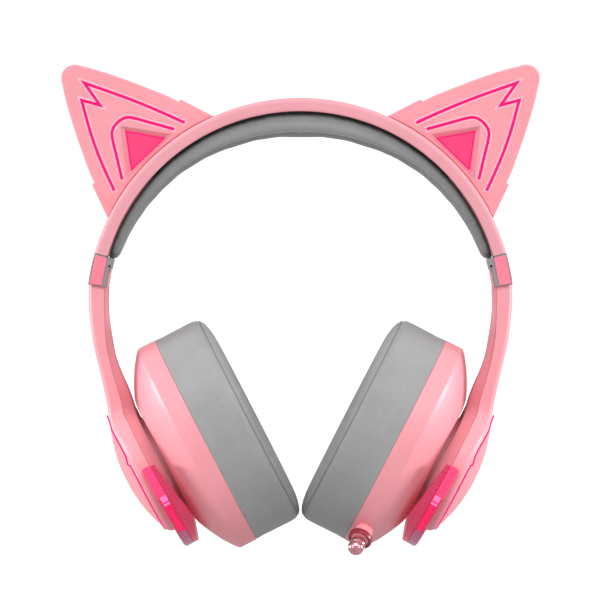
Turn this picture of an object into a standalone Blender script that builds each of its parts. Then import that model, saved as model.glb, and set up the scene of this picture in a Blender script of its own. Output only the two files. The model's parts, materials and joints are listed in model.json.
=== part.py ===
"""Cat-ear over-ear gaming headset at rest.

Frame: metres, +Z up. The wearer looks along -Y, and the origin is where the
headband pad rests on the top of the head, so -X is the wearer's right.
Dimensions below are in millimetres and every mesh is scaled to metres.
Pieces that come in pairs are built on the right (-X) and mirrored to the left.
"""

import math

import bmesh
import bpy
from mathutils import Matrix, Vector

MM = 0.001
NAME = "cat_ear_headset"
GAP = 0.3

# Headband: one arc about BAND_CENTRE_Z, with angles measured from the crown
BAND_CENTRE_Z = -79.4
BAND_OUTER = 96.3
BAND_INNER = 89.9
BAND_HALF_WIDTH = 15.0
BAND_WALL = 2.3
BAND_END = 73.8
PAD_THICKNESS = ((0, 10.2), (20, 9.4), (41, 7.6), (64, 5.6), (71, 5.0), (73, 3.4))
PAD_HALF_WIDTH = 13.6
SPRING_HALF_ANGLE = 50.0
LINER_HALF_ANGLE = 48.0

# Sliding end: a straight strip, tangent to the band where the band ends
STRIP_RADIUS = 90.7
STRIP_THICK = 1.2
STRIP_HALF_WIDTH = 7.0
STRIP_INSIDE = 25.0
STRIP_IN_BLOCK = 10.0
BLOCK_INNER = 87.8
BLOCK_OUTER = 95.9
BLOCK_START = 74.15
BLOCK_END = 82.6
BLOCK_HALF_WIDTH = 14.4
PIN_RADIUS = 1.1
PIN_ARC_RADIUS = 87.9
PIN_ANGLE = 76.5

# Arm: front-view edges on the -X side, from the block down to the end disc
ARM_OUTER_EDGE = (
    (-95.2, -67.5), (-95.2, -77.0), (-93.4, -92.6),
    (-89.8, -108.2), (-87.0, -120.9), (-86.4, -127.0),
)
ARM_SPLIT = (
    (-89.0, -68.3), (-89.1, -78.9), (-87.4, -92.6),
    (-84.4, -105.5), (-81.0, -117.0), (-79.6, -123.4),
)
ARM_INNER_EDGE = (
    (-86.2, -68.6), (-86.3, -78.9), (-84.8, -90.5),
    (-82.6, -101.0), (-77.2, -114.5), (-74.7, -121.9),
)
ARM_HALF_WIDTH = 13.0

# Cup frame: x runs down the cup, y to the front, z outward from the head
CUP_ORIGIN = (-42.4, 0.0, -136.8)
CUP_TILT = 27.2
CUP_HALF_HEIGHT = 50.3
CUP_HALF_WIDTH = 42.0
CUP_OVAL = CUP_HALF_WIDTH / CUP_HALF_HEIGHT
CUP_WALL = 2.2
DRAFT = 0.15
RIM_HEIGHT = 8.4
CAVITY_TOP = 11.0
RECESS_FLOOR = 13.0
RECESS_RADIUS = 26.5
CUSHION_DEPTH = 24.6
EAR_HOLE = 29.0

# End disc of the arm, in the cup frame
DISC_RADIUS = 29.5
DISC_APEX = 40.3
DISC_DROP = 6.9
DISC_SPLIT = 27.4
DISC_INNER_FACE = 21.9
DISC_FACE_RADIUS = 24.2
DISC_COLLAR = 22.0
DISC_COLLAR_END = 17.4
PIVOT_HEIGHT = 16.8
PIVOT_PIN = 1.2
LUG_PLACE = 8.0
LUG_HALF = 1.5
LUG_REACH = 1.9
LUG_TOP = 18.6

# Light bar round the lower half of the disc
BAR_INNER = 30.1
BAR_BOTTOM = 38.7
BAR_SIDE = 35.0
BAR_THICK = 6.4
BAR_HEIGHT = 28.0
BAR_LEAN = 1.3
BAR_WING_TIP = (26.9, 21.0)
BAR_WING_START = (-1.0, 24.8)
BAR_WING_END = (39.0, 24.5)
BAR_WING_DEPTH = 2.6

# Ears: x along the band towards the crown, y away from the band's centre
EAR_ANGLE = 44.0
EAR_HALF_THICK = 6.5
EAR_WALL = 1.8
EAR_EDGE = (
    (0.0, 152.2), (2.6, 151.5), (4.5, 150.0), (12.0, 138.0),
    (14.4, 133.0), (20.2, 121.0), (26.2, 106.5),
)
EAR_FOOT = 28.4
EAR_SPLIT = 106.5
EAR_POCKET = ((0.0, 145.5), (10.0, 135.0), (17.0, 121.0), (23.0, 106.5))
SHOE_TOP = 27.7
SHOE_FOOT = 33.0
OUTER_LINE = (
    (21.7, 97.2), (15.4, 112.8), (9.5, 125.7), (1.6, 141.5), (-0.2, 129.3),
    (-4.6, 136.7), (-11.8, 123.5), (-17.3, 111.2), (-22.3, 97.2),
)
INNER_LINE = (
    (16.3, 98.4), (10.5, 108.0), (7.4, 113.5), (5.2, 116.6), (2.5, 118.0),
    (-2.5, 118.0), (-5.2, 116.6), (-7.4, 113.5), (-10.5, 108.0), (-16.3, 98.4),
)
WINDOW = ((0.0, 113.5), (-10.8, 98.4), (10.8, 98.4))
WINDOW_FRAME = ((0.0, 116.0), (-14.2, 97.4), (14.2, 97.4))
LINE_WIDTH = 1.1
GROOVE_WIDTH = 1.8
GROOVE_DEPTH = 0.9

# Microphone, buttons and sockets on the left cup, in the cup frame
MIC_FOOT = (41.5, 23.0, 5.9)
MIC_DIRECTION = (0.75, 0.66)
MIC_INSIDE = 54.0
MIC_BOOM_RADIUS = 1.5
MIC_BORE = 1.9
BUTTON_HEIGHT = 4.6
BUTTON_LENGTH = 8.0
BUTTON_WIDTH = 3.6
BUTTON_ANGLES = {
    "power_button": -116,
    "volume_up_button": -98,
    "volume_down_button": -82,
    "mode_button": -64,
}
PORT_ANGLE = -38
PORT_HEIGHT = 4.5
PORT_PROUD = 0.8
USB_PLACE = -6.0
JACK_PLACE = 7.0
JACK_RADIUS = 1.8

MIRROR = Matrix.Scale(-1, 4, (1, 0, 0))
PINK = (1.0, 0.42, 0.49)
GREY = (0.32, 0.32, 0.33)


def clear_scene():
    for obj in list(bpy.data.objects):
        bpy.data.objects.remove(obj, do_unlink=True)


def new_collection(name):
    group = bpy.data.collections.new(name)
    bpy.context.scene.collection.children.link(group)
    return group


def new_material(name, colour, roughness, metallic=0.0):
    material = bpy.data.materials.new(name)
    material.use_nodes = True
    shader = material.node_tree.nodes["Principled BSDF"]
    shader.inputs["Base Color"].default_value = (*colour, 1)
    shader.inputs["Roughness"].default_value = roughness
    shader.inputs["Metallic"].default_value = metallic
    material.diffuse_color = (*colour, 1)
    return material


def frame_at(origin, x_axis, y_axis, z_axis):
    """The matrix of a local frame, from its origin in millimetres and its axes."""
    rotation = Matrix((x_axis, y_axis, z_axis)).transposed()
    return Matrix.Translation(Vector(origin) * MM) @ rotation.to_4x4()


def moved(frame, x=0.0, y=0.0, z=0.0):
    return frame @ Matrix.Translation(Vector((x, y, z)) * MM)


def polar(radius, degrees):
    """A point of the front view about the band's centre, from the crown towards -X."""
    angle = math.radians(degrees)
    return (-radius * math.sin(angle), radius * math.cos(angle))


def arc(radius, start, end, steps):
    return [polar(radius, start + (end - start) * i / steps) for i in range(steps + 1)]


def sector(inner, outer, start, end, steps):
    """The closed outline between two radii and two angles."""
    return arc(outer, start, end, steps) + arc(inner, end, start, steps)


def oval(half_x, half_y, steps, start=0.0, end=360.0):
    """Points of an ellipse; a full turn leaves out the repeated last point."""
    count = steps if end - start >= 360 else steps + 1
    angles = [math.radians(start + (end - start) * i / steps) for i in range(count)]
    return [(half_x * math.cos(a), half_y * math.sin(a)) for a in angles]


def eased(points, per_span=3):
    """A smooth line through the points (Catmull-Rom)."""
    ends = [points[0], *points, points[-1]]
    line = []
    for p0, p1, p2, p3 in zip(ends, ends[1:], ends[2:], ends[3:]):
        for i in range(per_span):
            t = i / per_span
            line.append(tuple(
                0.5 * (2 * b + (c - a) * t + (2 * a - 5 * b + 4 * c - d) * t**2 + (3 * b - a - 3 * c + d) * t**3)
                for a, b, c, d in zip(p0, p1, p2, p3)
            ))
    return line + [tuple(points[-1])]


def strip_outline(points, width):
    """The closed outline of a line of even width, with mitred corners."""
    line = [Vector(p) for p in points]
    sides = ([], [])
    for i, here in enumerate(line):
        before = (here - line[i - 1]).normalized() if i else (line[1] - here).normalized()
        after = (line[i + 1] - here).normalized() if i + 1 < len(line) else before
        normal = Vector((-before.y - after.y, before.x + after.x)).normalized()
        reach = width / 2 / normal.dot(Vector((-before.y, before.x)))
        sides[0].append(tuple(here + normal * reach))
        sides[1].append(tuple(here - normal * reach))
    return sides[0] + sides[1][::-1]


def mirrored_outline(half):
    """A closed outline from its +x half, whose first point may lie on the middle line."""
    return list(half) + [(-x, y) for x, y in reversed(half) if x > 0]


def baked(obj):
    """The object's evaluated mesh, welded, with its faces pointing out."""
    bpy.context.view_layer.update()
    graph = bpy.context.evaluated_depsgraph_get()
    mesh = bpy.data.meshes.new_from_object(obj.evaluated_get(graph))
    shape = bmesh.new()
    shape.from_mesh(mesh)
    bmesh.ops.remove_doubles(shape, verts=shape.verts, dist=0.001 * MM)
    bmesh.ops.recalc_face_normals(shape, faces=shape.faces)
    shape.to_mesh(mesh)
    shape.free()
    return mesh


def baked_from_data(data, modify=None):
    """Bakes a curve, or a mesh with one modifier, through a helper object that is then removed."""
    helper = bpy.data.objects.new("helper", data)
    bpy.context.scene.collection.objects.link(helper)
    if modify:
        modify(helper)
    mesh = baked(helper)
    bpy.data.objects.remove(helper, do_unlink=True)
    return mesh


def plate(outlines, low, high):
    """A flat outline, followed by any holes, as a plate between two heights."""
    curve = bpy.data.curves.new("outline", "CURVE")
    curve.dimensions = "2D"
    curve.fill_mode = "BOTH"
    curve.extrude = (high - low) / 2 * MM
    for outline in outlines:
        spline = curve.splines.new("POLY")
        spline.points.add(len(outline) - 1)
        for point, (x, y) in zip(spline.points, outline):
            point.co = (x * MM, y * MM, 0, 1)
        spline.use_cyclic_u = True
    mesh = baked_from_data(curve)
    mesh.transform(Matrix.Translation((0, 0, (low + high) / 2 * MM)))
    return mesh


def turned(profile, steps, oval_ratio=1.0):
    """A profile of (radius, height) turned about z; it closes on itself or on the axis."""
    edges = [(i, i + 1) for i in range(len(profile) - 1)]
    if profile[0][0] > 0:
        edges.append((len(profile) - 1, 0))
    half = bpy.data.meshes.new("profile")
    half.from_pydata([(r * MM, 0, z * MM) for r, z in profile], edges, [])

    def screw(helper):
        turn = helper.modifiers.new("turn", "SCREW")
        turn.steps = steps
        turn.render_steps = steps
        turn.use_merge_vertices = True
        turn.merge_threshold = 0.00001

    mesh = baked_from_data(half, screw)
    mesh.transform(Matrix.Diagonal((1, oval_ratio, 1, 1)))
    return mesh


def tube(points, radius, sides_resolution=1):
    """A round line along a path of points."""
    curve = bpy.data.curves.new("path", "CURVE")
    curve.dimensions = "3D"
    curve.bevel_depth = radius * MM
    curve.bevel_resolution = sides_resolution
    curve.use_fill_caps = True
    spline = curve.splines.new("POLY")
    spline.points.add(len(points) - 1)
    for point, place in zip(spline.points, points):
        point.co = (*(Vector(place) * MM), 1)
    return baked_from_data(curve)


def block(low, high):
    """A box between two corners."""
    shape = bmesh.new()
    bmesh.ops.create_cube(shape, size=1)
    size = [(b - a) * MM for a, b in zip(low, high)]
    centre = [(a + b) / 2 * MM for a, b in zip(low, high)]
    bmesh.ops.scale(shape, vec=size, verts=shape.verts)
    bmesh.ops.translate(shape, vec=centre, verts=shape.verts)
    mesh = bpy.data.meshes.new("block")
    shape.to_mesh(mesh)
    shape.free()
    return mesh


def lofted(rows):
    """Rings of points in mm, one after another, skinned into a closed body with flat ends."""
    shape = bmesh.new()
    rings = [[shape.verts.new([value * MM for value in point]) for point in row] for row in rows]
    count = len(rows[0])
    for first, second in zip(rings, rings[1:]):
        for i in range(count):
            after = (i + 1) % count
            shape.faces.new((first[i], first[after], second[after], second[i]))
    for ring in (rings[0], rings[-1]):
        shape.faces.new(ring)
    bmesh.ops.recalc_face_normals(shape, faces=shape.faces)
    mesh = bpy.data.meshes.new("loft")
    shape.to_mesh(mesh)
    shape.free()
    return mesh


def rod(radius, start, end, axis="Z", sides=16):
    """A cylinder along a local axis, between two places on it."""
    shape = bmesh.new()
    bmesh.ops.create_cone(
        shape, cap_ends=True, segments=sides, radius1=radius * MM, radius2=radius * MM, depth=(end - start) * MM
    )
    mesh = bpy.data.meshes.new("rod")
    shape.to_mesh(mesh)
    shape.free()
    mesh.transform(Matrix.Translation((0, 0, (start + end) / 2 * MM)))
    turns = {"X": Matrix.Rotation(math.pi / 2, 4, "Y"), "Y": Matrix.Rotation(-math.pi / 2, 4, "X"), "Z": Matrix()}
    mesh.transform(turns[axis])
    return mesh


def add(name, mesh, frame, material):
    mesh.name = name
    mesh.materials.clear()
    mesh.materials.append(material)
    obj = bpy.data.objects.new(name, mesh)
    obj.matrix_world = frame
    PARTS.objects.link(obj)
    return obj


def combine(obj, operation, mesh, frame):
    """Joins a shape to an object or cuts it away, with a Boolean."""
    helper = bpy.data.objects.new(obj.name + "_" + operation.lower(), mesh)
    helper.matrix_world = frame
    helper.hide_render = True
    helper.display_type = "WIRE"
    CUTTERS.objects.link(helper)
    boolean = obj.modifiers.new(operation.lower(), "BOOLEAN")
    boolean.operation = operation
    boolean.object = helper
    boolean.solver = "EXACT"


def cut(obj, mesh, frame):
    combine(obj, "DIFFERENCE", mesh, frame)


def join(obj, mesh, frame):
    combine(obj, "UNION", mesh, frame)


def without(mesh, removed):
    """The mesh with the others cut from it, as a new mesh."""
    helper = add("helper", mesh, Matrix(), SHELL)
    for shape in removed:
        cut(helper, shape, Matrix())
    result = baked(helper)
    remove_with_cutters(helper)
    return result


def remove_with_cutters(obj):
    for modifier in list(obj.modifiers):
        bpy.data.objects.remove(modifier.object, do_unlink=True)
    bpy.data.objects.remove(obj, do_unlink=True)


def twin(obj, name):
    """The mirror image of a piece on the other side of the head, as its own object."""
    mesh = baked(obj)
    origin = MIRROR @ obj.matrix_world.translation
    mesh.transform(Matrix.Translation(-origin) @ MIRROR @ obj.matrix_world)
    mesh.flip_normals()
    return add(name, mesh, Matrix.Translation(origin), obj.data.materials[0])


def moved_to_left(obj):
    """Replaces a piece that only the left side has by its mirror image there."""
    name = obj.name
    obj.name = name + "_right"
    copy = twin(obj, name)
    remove_with_cutters(obj)
    copy.name = name
    return copy


def front_frame():
    """x is world X, y is world Z and z points to the front."""
    return frame_at((0, 0, 0), (1, 0, 0), (0, 0, 1), (0, -1, 0))


def band_frame():
    return moved(front_frame(), y=BAND_CENTRE_Z)


def slide_frame():
    """At the band's end: x along the slide, y to the front and z outward."""
    angle = math.radians(BAND_END)
    x, z = polar(STRIP_RADIUS, BAND_END)
    down = (-math.cos(angle), 0, -math.sin(angle))
    out = (-math.sin(angle), 0, math.cos(angle))
    return frame_at((x, 0, z + BAND_CENTRE_Z), down, (0, -1, 0), out)


def ear_frame():
    angle = math.radians(EAR_ANGLE)
    along = (math.cos(angle), 0, math.sin(angle))
    out = (-math.sin(angle), 0, math.cos(angle))
    return frame_at((0, 0, BAND_CENTRE_Z), along, out, (0, -1, 0))


def cup_frame():
    angle = math.radians(CUP_TILT)
    down = (math.sin(angle), 0, -math.cos(angle))
    out = (-math.cos(angle), 0, -math.sin(angle))
    return frame_at(CUP_ORIGIN, down, (0, -1, 0), out)


def cup_point(down, out):
    """The front-view place of a point of the cup's middle plane."""
    place = cup_frame() @ Vector((down * MM, 0, out * MM))
    return (place.x / MM, place.z / MM)


def rim_frame(degrees, height):
    """On the cup's rim wall: x along the rim, y outward through the wall and z outward from the head."""
    angle = math.radians(degrees)
    x, y = CUP_HALF_HEIGHT * math.cos(angle), CUP_HALF_WIDTH * math.sin(angle)
    out = Vector((CUP_HALF_WIDTH * math.cos(angle), CUP_HALF_HEIGHT * math.sin(angle), 0)).normalized()
    along = Vector((out.y, -out.x, 0))
    return cup_frame() @ frame_at((x, y, height), along, out, (0, 0, 1))


def dome_height(radius):
    """Height of the disc's crowned outer face at a radius."""
    return DISC_APEX - DISC_DROP * (radius / DISC_RADIUS) ** 2.2


def pad_thickness(degrees):
    for (a, thick_a), (b, thick_b) in zip(PAD_THICKNESS, PAD_THICKNESS[1:]):
        if degrees <= b:
            return thick_a + (thick_b - thick_a) * (degrees - a) / (b - a)
    return PAD_THICKNESS[-1][1]


def build_headband():
    frame = band_frame()
    width = BAND_HALF_WIDTH
    arch = sector(BAND_INNER, BAND_OUTER, BAND_END, -BAND_END, 36)
    shell = add("headband_shell", plate([arch], -width, width), frame, SHELL)
    channel = sector(BAND_INNER - 3, BAND_OUTER - BAND_WALL, BAND_END + 4, -BAND_END - 4, 38)
    cut(shell, plate([channel], -width + BAND_WALL, width - BAND_WALL), frame)
    slot = block((-STRIP_INSIDE - 0.4, -STRIP_HALF_WIDTH - 0.5, -1.0), (2, STRIP_HALF_WIDTH + 0.5, 0.9))
    for side in (Matrix(), MIRROR):
        mesh = slot.copy()
        mesh.transform(side @ slide_frame())
        if side == MIRROR:
            mesh.flip_normals()
        cut(shell, mesh, Matrix())
    inside = width - BAND_WALL - GAP
    spring = sector(92.6, 93.3, SPRING_HALF_ANGLE, -SPRING_HALF_ANGLE, 24)
    liner = sector(BAND_INNER + 0.2, 91.8, LINER_HALF_ANGLE, -LINER_HALF_ANGLE, 24)
    end = PAD_THICKNESS[-1][0]
    angles = [end - 2 * end * i / 32 for i in range(33)]
    top = [polar(BAND_INNER - GAP, a) for a in angles]
    under = [polar(BAND_INNER - GAP - pad_thickness(abs(a)), a) for a in angles]
    return [
        shell,
        add("headband_spring", plate([spring], -9, 9), frame, STEEL),
        add("headband_liner", plate([liner], -inside, inside), frame, DARK),
        add("headband_pad", plate([top + under[::-1]], -PAD_HALF_WIDTH, PAD_HALF_WIDTH), frame, SOFT),
    ]


def build_ear():
    frame = ear_frame()
    front = EAR_HALF_THICK
    seat = BAND_OUTER + GAP
    foot = [(x, math.sqrt(seat**2 - x**2)) for x in (EAR_FOOT, 19, 9.5, 0)]
    outline = mirrored_outline(EAR_EDGE + tuple(foot))
    shell = add("right_ear_front_shell", plate([outline], 0.3, front), frame, SHELL)
    low_pocket = ((23.6, 99.0),)
    cut(shell, plate([mirrored_outline(EAR_POCKET + low_pocket)], -1, front - EAR_WALL), frame)
    cut(shell, plate([WINDOW_FRAME], front - 1.0, front + 1), frame)
    opening = [(x * 1.04, 98.2 + (y - 98.4) * 1.045) for x, y in WINDOW]
    cut(shell, plate([opening], front - 4, front + 1), frame)
    for line in (OUTER_LINE, INNER_LINE):
        cut(shell, plate([strip_outline(line, GROOVE_WIDTH)], front - GROOVE_DEPTH, front + 1), frame)
    back = add("right_ear_back_shell", plate([mirrored_outline(EAR_EDGE)], -front, 0), frame, SHELL)
    cut(back, plate([mirrored_outline(EAR_POCKET[:-1] + ((22.2, 108.5),))], -front + EAR_WALL, 1), frame)
    seat_line = [(x, math.sqrt(seat**2 - x**2)) for x in (SHOE_FOOT, 22, 11, 0)]
    shoe_edge = ((SHOE_TOP, EAR_SPLIT - GAP), *seat_line)
    shoe = add("right_ear_shoe", plate([mirrored_outline(shoe_edge)], -front, 0), frame, TRIM)
    lens_window = [(x * 0.97, 98.7 + (y - 98.4) * 0.96) for x, y in WINDOW]
    line_low, line_high = front - GROOVE_DEPTH + 0.15, front + 0.15
    outer_line = plate([strip_outline(OUTER_LINE, LINE_WIDTH)], line_low, line_high)
    inner_line = plate([strip_outline(INNER_LINE, LINE_WIDTH)], line_low, line_high)
    board = ((0, 132), (-9.5, 112), (9.5, 112))
    return [
        shell,
        back,
        shoe,
        add("right_ear_outer_light_line", outer_line, frame, NEON),
        add("right_ear_inner_light_line", inner_line, frame, NEON),
        add("right_ear_window_lens", plate([lens_window], front - 2.6, front - 0.7), frame, LENS),
        add("right_ear_led_board", plate([board], -1.0, 0.2), frame, BOARD),
    ]


def build_slider():
    """The strip, the block at its lower end, the block's colour inserts and its pin."""
    frame = band_frame()
    half_strip = STRIP_THICK / 2
    low, high = (-STRIP_INSIDE, -STRIP_HALF_WIDTH, -half_strip), (STRIP_IN_BLOCK, STRIP_HALF_WIDTH, half_strip)
    strip = block(low, high)
    knuckle_x, knuckle_y = polar(PIN_ARC_RADIUS, PIN_ANGLE)
    knuckle = moved(frame, x=knuckle_x, y=knuckle_y)
    width = BLOCK_HALF_WIDTH
    body = plate([sector(BLOCK_INNER, BLOCK_OUTER, BLOCK_START, BLOCK_END, 4)], -width, width)
    hinge = add("right_hinge_block", body, frame, TRIM_GREY)
    join(hinge, rod(PIN_RADIUS + 0.9, -width, width), knuckle)
    cut(hinge, rod(PIN_RADIUS + 0.3, -width - 1, width + 1), knuckle)
    pocket = block((-2, -STRIP_HALF_WIDTH - 0.3, -0.9), (STRIP_IN_BLOCK + 0.4, STRIP_HALF_WIDTH + 0.3, 0.9))
    cut(hinge, pocket, slide_frame())
    recess = [sector(90.0, 95.7, BLOCK_START + 0.45, BLOCK_END - 0.4, 4)]
    insert = [sector(90.2, 95.3, BLOCK_START + 0.7, BLOCK_END - 0.65, 4)]
    cut(hinge, plate(recess, width - 1.0, width + 1), frame)
    cut(hinge, plate(recess, -width - 1, -width + 1.0), frame)
    return [
        add("right_slider_strip", strip, slide_frame(), STEEL),
        hinge,
        add("right_front_insert", plate(insert, width - 0.7, width + 0.4), frame, INSERT),
        add("right_rear_insert", plate(insert, -width - 0.4, -width + 0.7), frame, INSERT),
        add("right_hinge_pin", rod(PIN_RADIUS, -width + 0.2, width - 0.2), knuckle, STEEL),
    ]


def disc_line_path():
    """The lit line near the disc's edge, with one zigzag on the front and one on the back."""
    turns = [(150, 0), (128, 0), (112, 0), (104, -3.2), (100, 0.0), (92, 0)]
    turns += [(75, 0), (60, 0), (45, 0), (30, 0), (15, 0)]
    places = turns + [(0, 0)] + [(-angle, inset) for angle, inset in reversed(turns)]
    path = []
    for angle, inset in places:
        radius = 27.2 + inset
        turn = math.radians(angle)
        path.append((radius * math.cos(turn), radius * math.sin(turn), dome_height(radius)))
    return path


def wing_height(down):
    """How far the bar's wing reaches towards the cup, at a distance down the cup."""
    ends = (BAR_WING_START, BAR_WING_TIP) if down < BAR_WING_TIP[0] else (BAR_WING_TIP, BAR_WING_END)
    (start, low), (end, high) = ends
    return low + (high - low) * (down - start) / (end - start)


def light_bar():
    """Half a ring, with a wing towards the cup that is deepest at either side of the bottom."""
    half = BAR_THICK / 2
    rows = []
    for i in range(25):
        angle = math.radians(-90 + 7.5 * i)
        x, y = BAR_BOTTOM * math.cos(angle), BAR_SIDE * math.sin(angle)
        reach = math.hypot(x, y)
        tip = min(-half - 0.01, wing_height(x) - BAR_HEIGHT)
        section = [
            (reach, half), (BAR_INNER, half), (BAR_INNER, -half),
            (reach - BAR_WING_DEPTH, tip), (reach, tip),
        ]
        rows.append([(r * x / reach, r * y / reach, height) for r, height in section])
    return lofted(rows)


def build_arm():
    """The arm with its end disc: outer shell, inner cover, light bar and lit line."""
    flat = front_frame()
    cup = cup_frame()
    width = ARM_HALF_WIDTH
    outer_side = eased(ARM_OUTER_EDGE)
    outer_split = [(x - GAP / 2, y) for x, y in eased(ARM_SPLIT)]
    inner_split = [(x + GAP / 2, y) for x, y in eased(ARM_SPLIT)]
    inside_disc = [cup_point(-22, 32), cup_point(-22, DISC_SPLIT + 1), cup_point(-28.6, DISC_SPLIT + 0.5)]
    outline = outer_side + inside_disc + outer_split[:-1][::-1]
    shell = add("right_arm_outer_shell", plate([outline], -width, width), flat, SHELL)
    dome_radii = (0, 10, 18, 24, 28)
    dome = [(r, dome_height(r)) for r in dome_radii]
    dome += [(DISC_RADIUS, dome_height(DISC_RADIUS) - 0.6), (DISC_RADIUS, DISC_SPLIT), (0, DISC_SPLIT)]
    hollow = [(r * 0.93, dome_height(r) - 2.0) for r in dome_radii]
    hollow += [(DISC_RADIUS - 2, DISC_SPLIT + 3), (DISC_RADIUS - 2, DISC_SPLIT - 1), (0, DISC_SPLIT - 1)]
    join(shell, turned(dome, 28), cup)
    cut(shell, turned(hollow, 28), cup)
    path = disc_line_path()
    cut(shell, tube(path, GROOVE_WIDTH / 2), cup)

    top = DISC_SPLIT - GAP
    under_disc = [cup_point(-28.4, top - 0.3), cup_point(-26.4, top - 0.5), cup_point(-24.6, 23.0)]
    inner_outline = inner_split[:-1] + under_disc
    inner_outline += eased(ARM_INNER_EDGE)[::-1]
    cover = add("right_arm_inner_cover", plate([inner_outline], -width + 0.6, width - 0.6), flat, TRIM)
    face = DISC_INNER_FACE
    dish = [
        (0, face + 1.8), (23.0, face + 1.8), (27.0, top),
        (29.3, top), (DISC_FACE_RADIUS, face), (0, face),
    ]
    join(cover, turned(dish, 28), cup)
    top_inside, end = face + 0.6, DISC_COLLAR_END
    wall = DISC_COLLAR - 2
    collar = [(DISC_COLLAR, top_inside), (DISC_COLLAR, end), (wall, end), (wall, top_inside)]
    join(cover, turned(collar, 30), cup)
    for side in (-1, 1):
        lug = block(
            (-2.5, side * LUG_PLACE - LUG_HALF, PIVOT_HEIGHT - LUG_REACH),
            (2.5, side * LUG_PLACE + LUG_HALF, DISC_INNER_FACE + 1),
        )
        join(cover, lug, cup)
    cut(cover, rod(PIVOT_PIN + 0.3, -12, 12, "Y"), moved(cup, z=PIVOT_HEIGHT))

    leaning = moved(cup, z=BAR_HEIGHT) @ Matrix.Rotation(math.radians(BAR_LEAN), 4, "Y")
    return [
        shell,
        cover,
        add("right_light_bar", light_bar(), leaning, LENS),
        add("right_disc_light_line", tube(path, LINE_WIDTH / 2), cup, NEON),
    ]


def build_pivot():
    """The cross between arm and cup: one pin turns in the arm, the other in the cup."""
    centre = moved(cup_frame(), z=PIVOT_HEIGHT)
    cross = add("right_pivot_cross", rod(PIVOT_PIN, -10, 10, "Y"), centre, STEEL)
    join(cross, rod(PIVOT_PIN, -10, 10, "X"), centre)
    join(cross, rod(3.2, -1.9, 1.9, "Z"), centre)
    return cross


def cup_housing(name):
    cup = cup_frame()
    outside = [
        (0, 21.0), (27, 21.0), (30.5, 20.5), (34, 19.0), (40, 15.9), (46.2, 12.0),
        (48.8, 10.1), (CUP_HALF_HEIGHT, RIM_HEIGHT), (CUP_HALF_HEIGHT, 0), (0, 0),
    ]
    inner_radius = CUP_HALF_HEIGHT - CUP_WALL
    inside = [
        (0, CAVITY_TOP), (38, CAVITY_TOP), (44, 8.8),
        (inner_radius, 6.6), (inner_radius + DRAFT, -1), (0, -1),
    ]
    housing = add(name, turned(outside, 32, CUP_OVAL), cup, SHELL)
    lugs = [
        block((place - LUG_HALF, -2.5, RECESS_FLOOR - 1), (place + LUG_HALF, 2.5, LUG_TOP))
        for place in (-LUG_PLACE, LUG_PLACE)
    ]
    cut(housing, without(rod(RECESS_RADIUS, RECESS_FLOOR, 25, "Z", 30), lugs), cup)
    cut(housing, rod(PIVOT_PIN + 0.3, -12, 12, "X"), moved(cup, z=PIVOT_HEIGHT))
    cut(housing, turned(inside, 32, CUP_OVAL), cup)
    return housing


def build_cup():
    """What both cups hold: baffle, speaker, scrim and cushion."""
    cup = cup_frame()
    hole = oval(20.3, 20.3, 20)
    baffle = plate([oval(46.9, 46.9 * CUP_OVAL, 32), hole], 0.1, 1.6)
    driver = [(0, 4.0), (12, 4.0), (12, 3.4), (19.9, 2.4), (19.9, -0.2), (22, -0.2), (22, -1.3), (0, -1.3)]
    scrim = plate([oval(26.6, 26.6 * CUP_OVAL, 32)], -2.8, -1.8)
    deep = -CUSHION_DEPTH
    cushion = [
        (49.4, -0.3), (50.3, -2.0), (50.3, deep + 5.1), (49.4, deep + 3.0), (46.4, deep + 1.4),
        (42.0, deep + 0.5), (37.5, deep), (33.0, deep + 0.6), (30.2, deep + 2.2),
        (EAR_HOLE, deep + 4.8), (EAR_HOLE, -2.4), (30.4, -0.3),
    ]
    return [
        add("right_baffle", baffle, cup, DARK),
        add("right_driver", turned(driver, 20), cup, DARK),
        add("right_scrim", scrim, cup, CLOTH),
        add("right_ear_cushion", turned(cushion, 32, CUP_OVAL), cup, SOFT),
    ]


def mic_frame():
    """At the boom's foot on the rim: z along the boom, out of the cup."""
    along = Vector((*MIC_DIRECTION, 0)).normalized()
    return cup_frame() @ frame_at(MIC_FOOT, Vector((0, 0, 1)).cross(along), (0, 0, 1), along)


def build_microphone(housing):
    frame = mic_frame()
    join(housing, rod(4.1, -5, 5.8), frame)
    join(housing, rod(4.1, 4, 8.2), frame)
    cut(housing, rod(MIC_BORE, -14, 12), frame)
    collar = [(5.5, 8.0), (5.1, 8.5), (4.4, 8.5), (4.4, 6.1), (5.5, 6.1)]
    tip = [
        (0, 16.4), (2.0, 16.0), (3.3, 14.6), (3.65, 12.9), (2.9, 12.0),
        (3.65, 11.2), (3.3, 9.6), (2.4, 8.8), (0, 8.8),
    ]
    return {
        "mic": [
            add("mic_boom", rod(MIC_BOOM_RADIUS, -MIC_INSIDE, 8.5, "Z", 12), frame, DARK),
            add("mic_tip", turned(tip, 14), frame, CHROME_PINK),
        ],
        "fixed": add("mic_collar", turned(collar, 16), frame, COLLAR),
    }


def build_button(name, housing):
    frame = rim_frame(BUTTON_ANGLES[name], BUTTON_HEIGHT)
    length, width = BUTTON_LENGTH / 2, BUTTON_WIDTH / 2
    hole = block((-length - GAP, -6, -width - GAP), (length + GAP, 3, width + GAP))
    cut(housing, hole, frame)
    button = add(name, block((-length, -3.6, -width), (length, 1.1, width)), frame, TRIM)
    join(button, block((-length - 1, -4.4, -width - 0.7), (length + 1, -3.4, width + 0.7)), frame)
    return button


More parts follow.
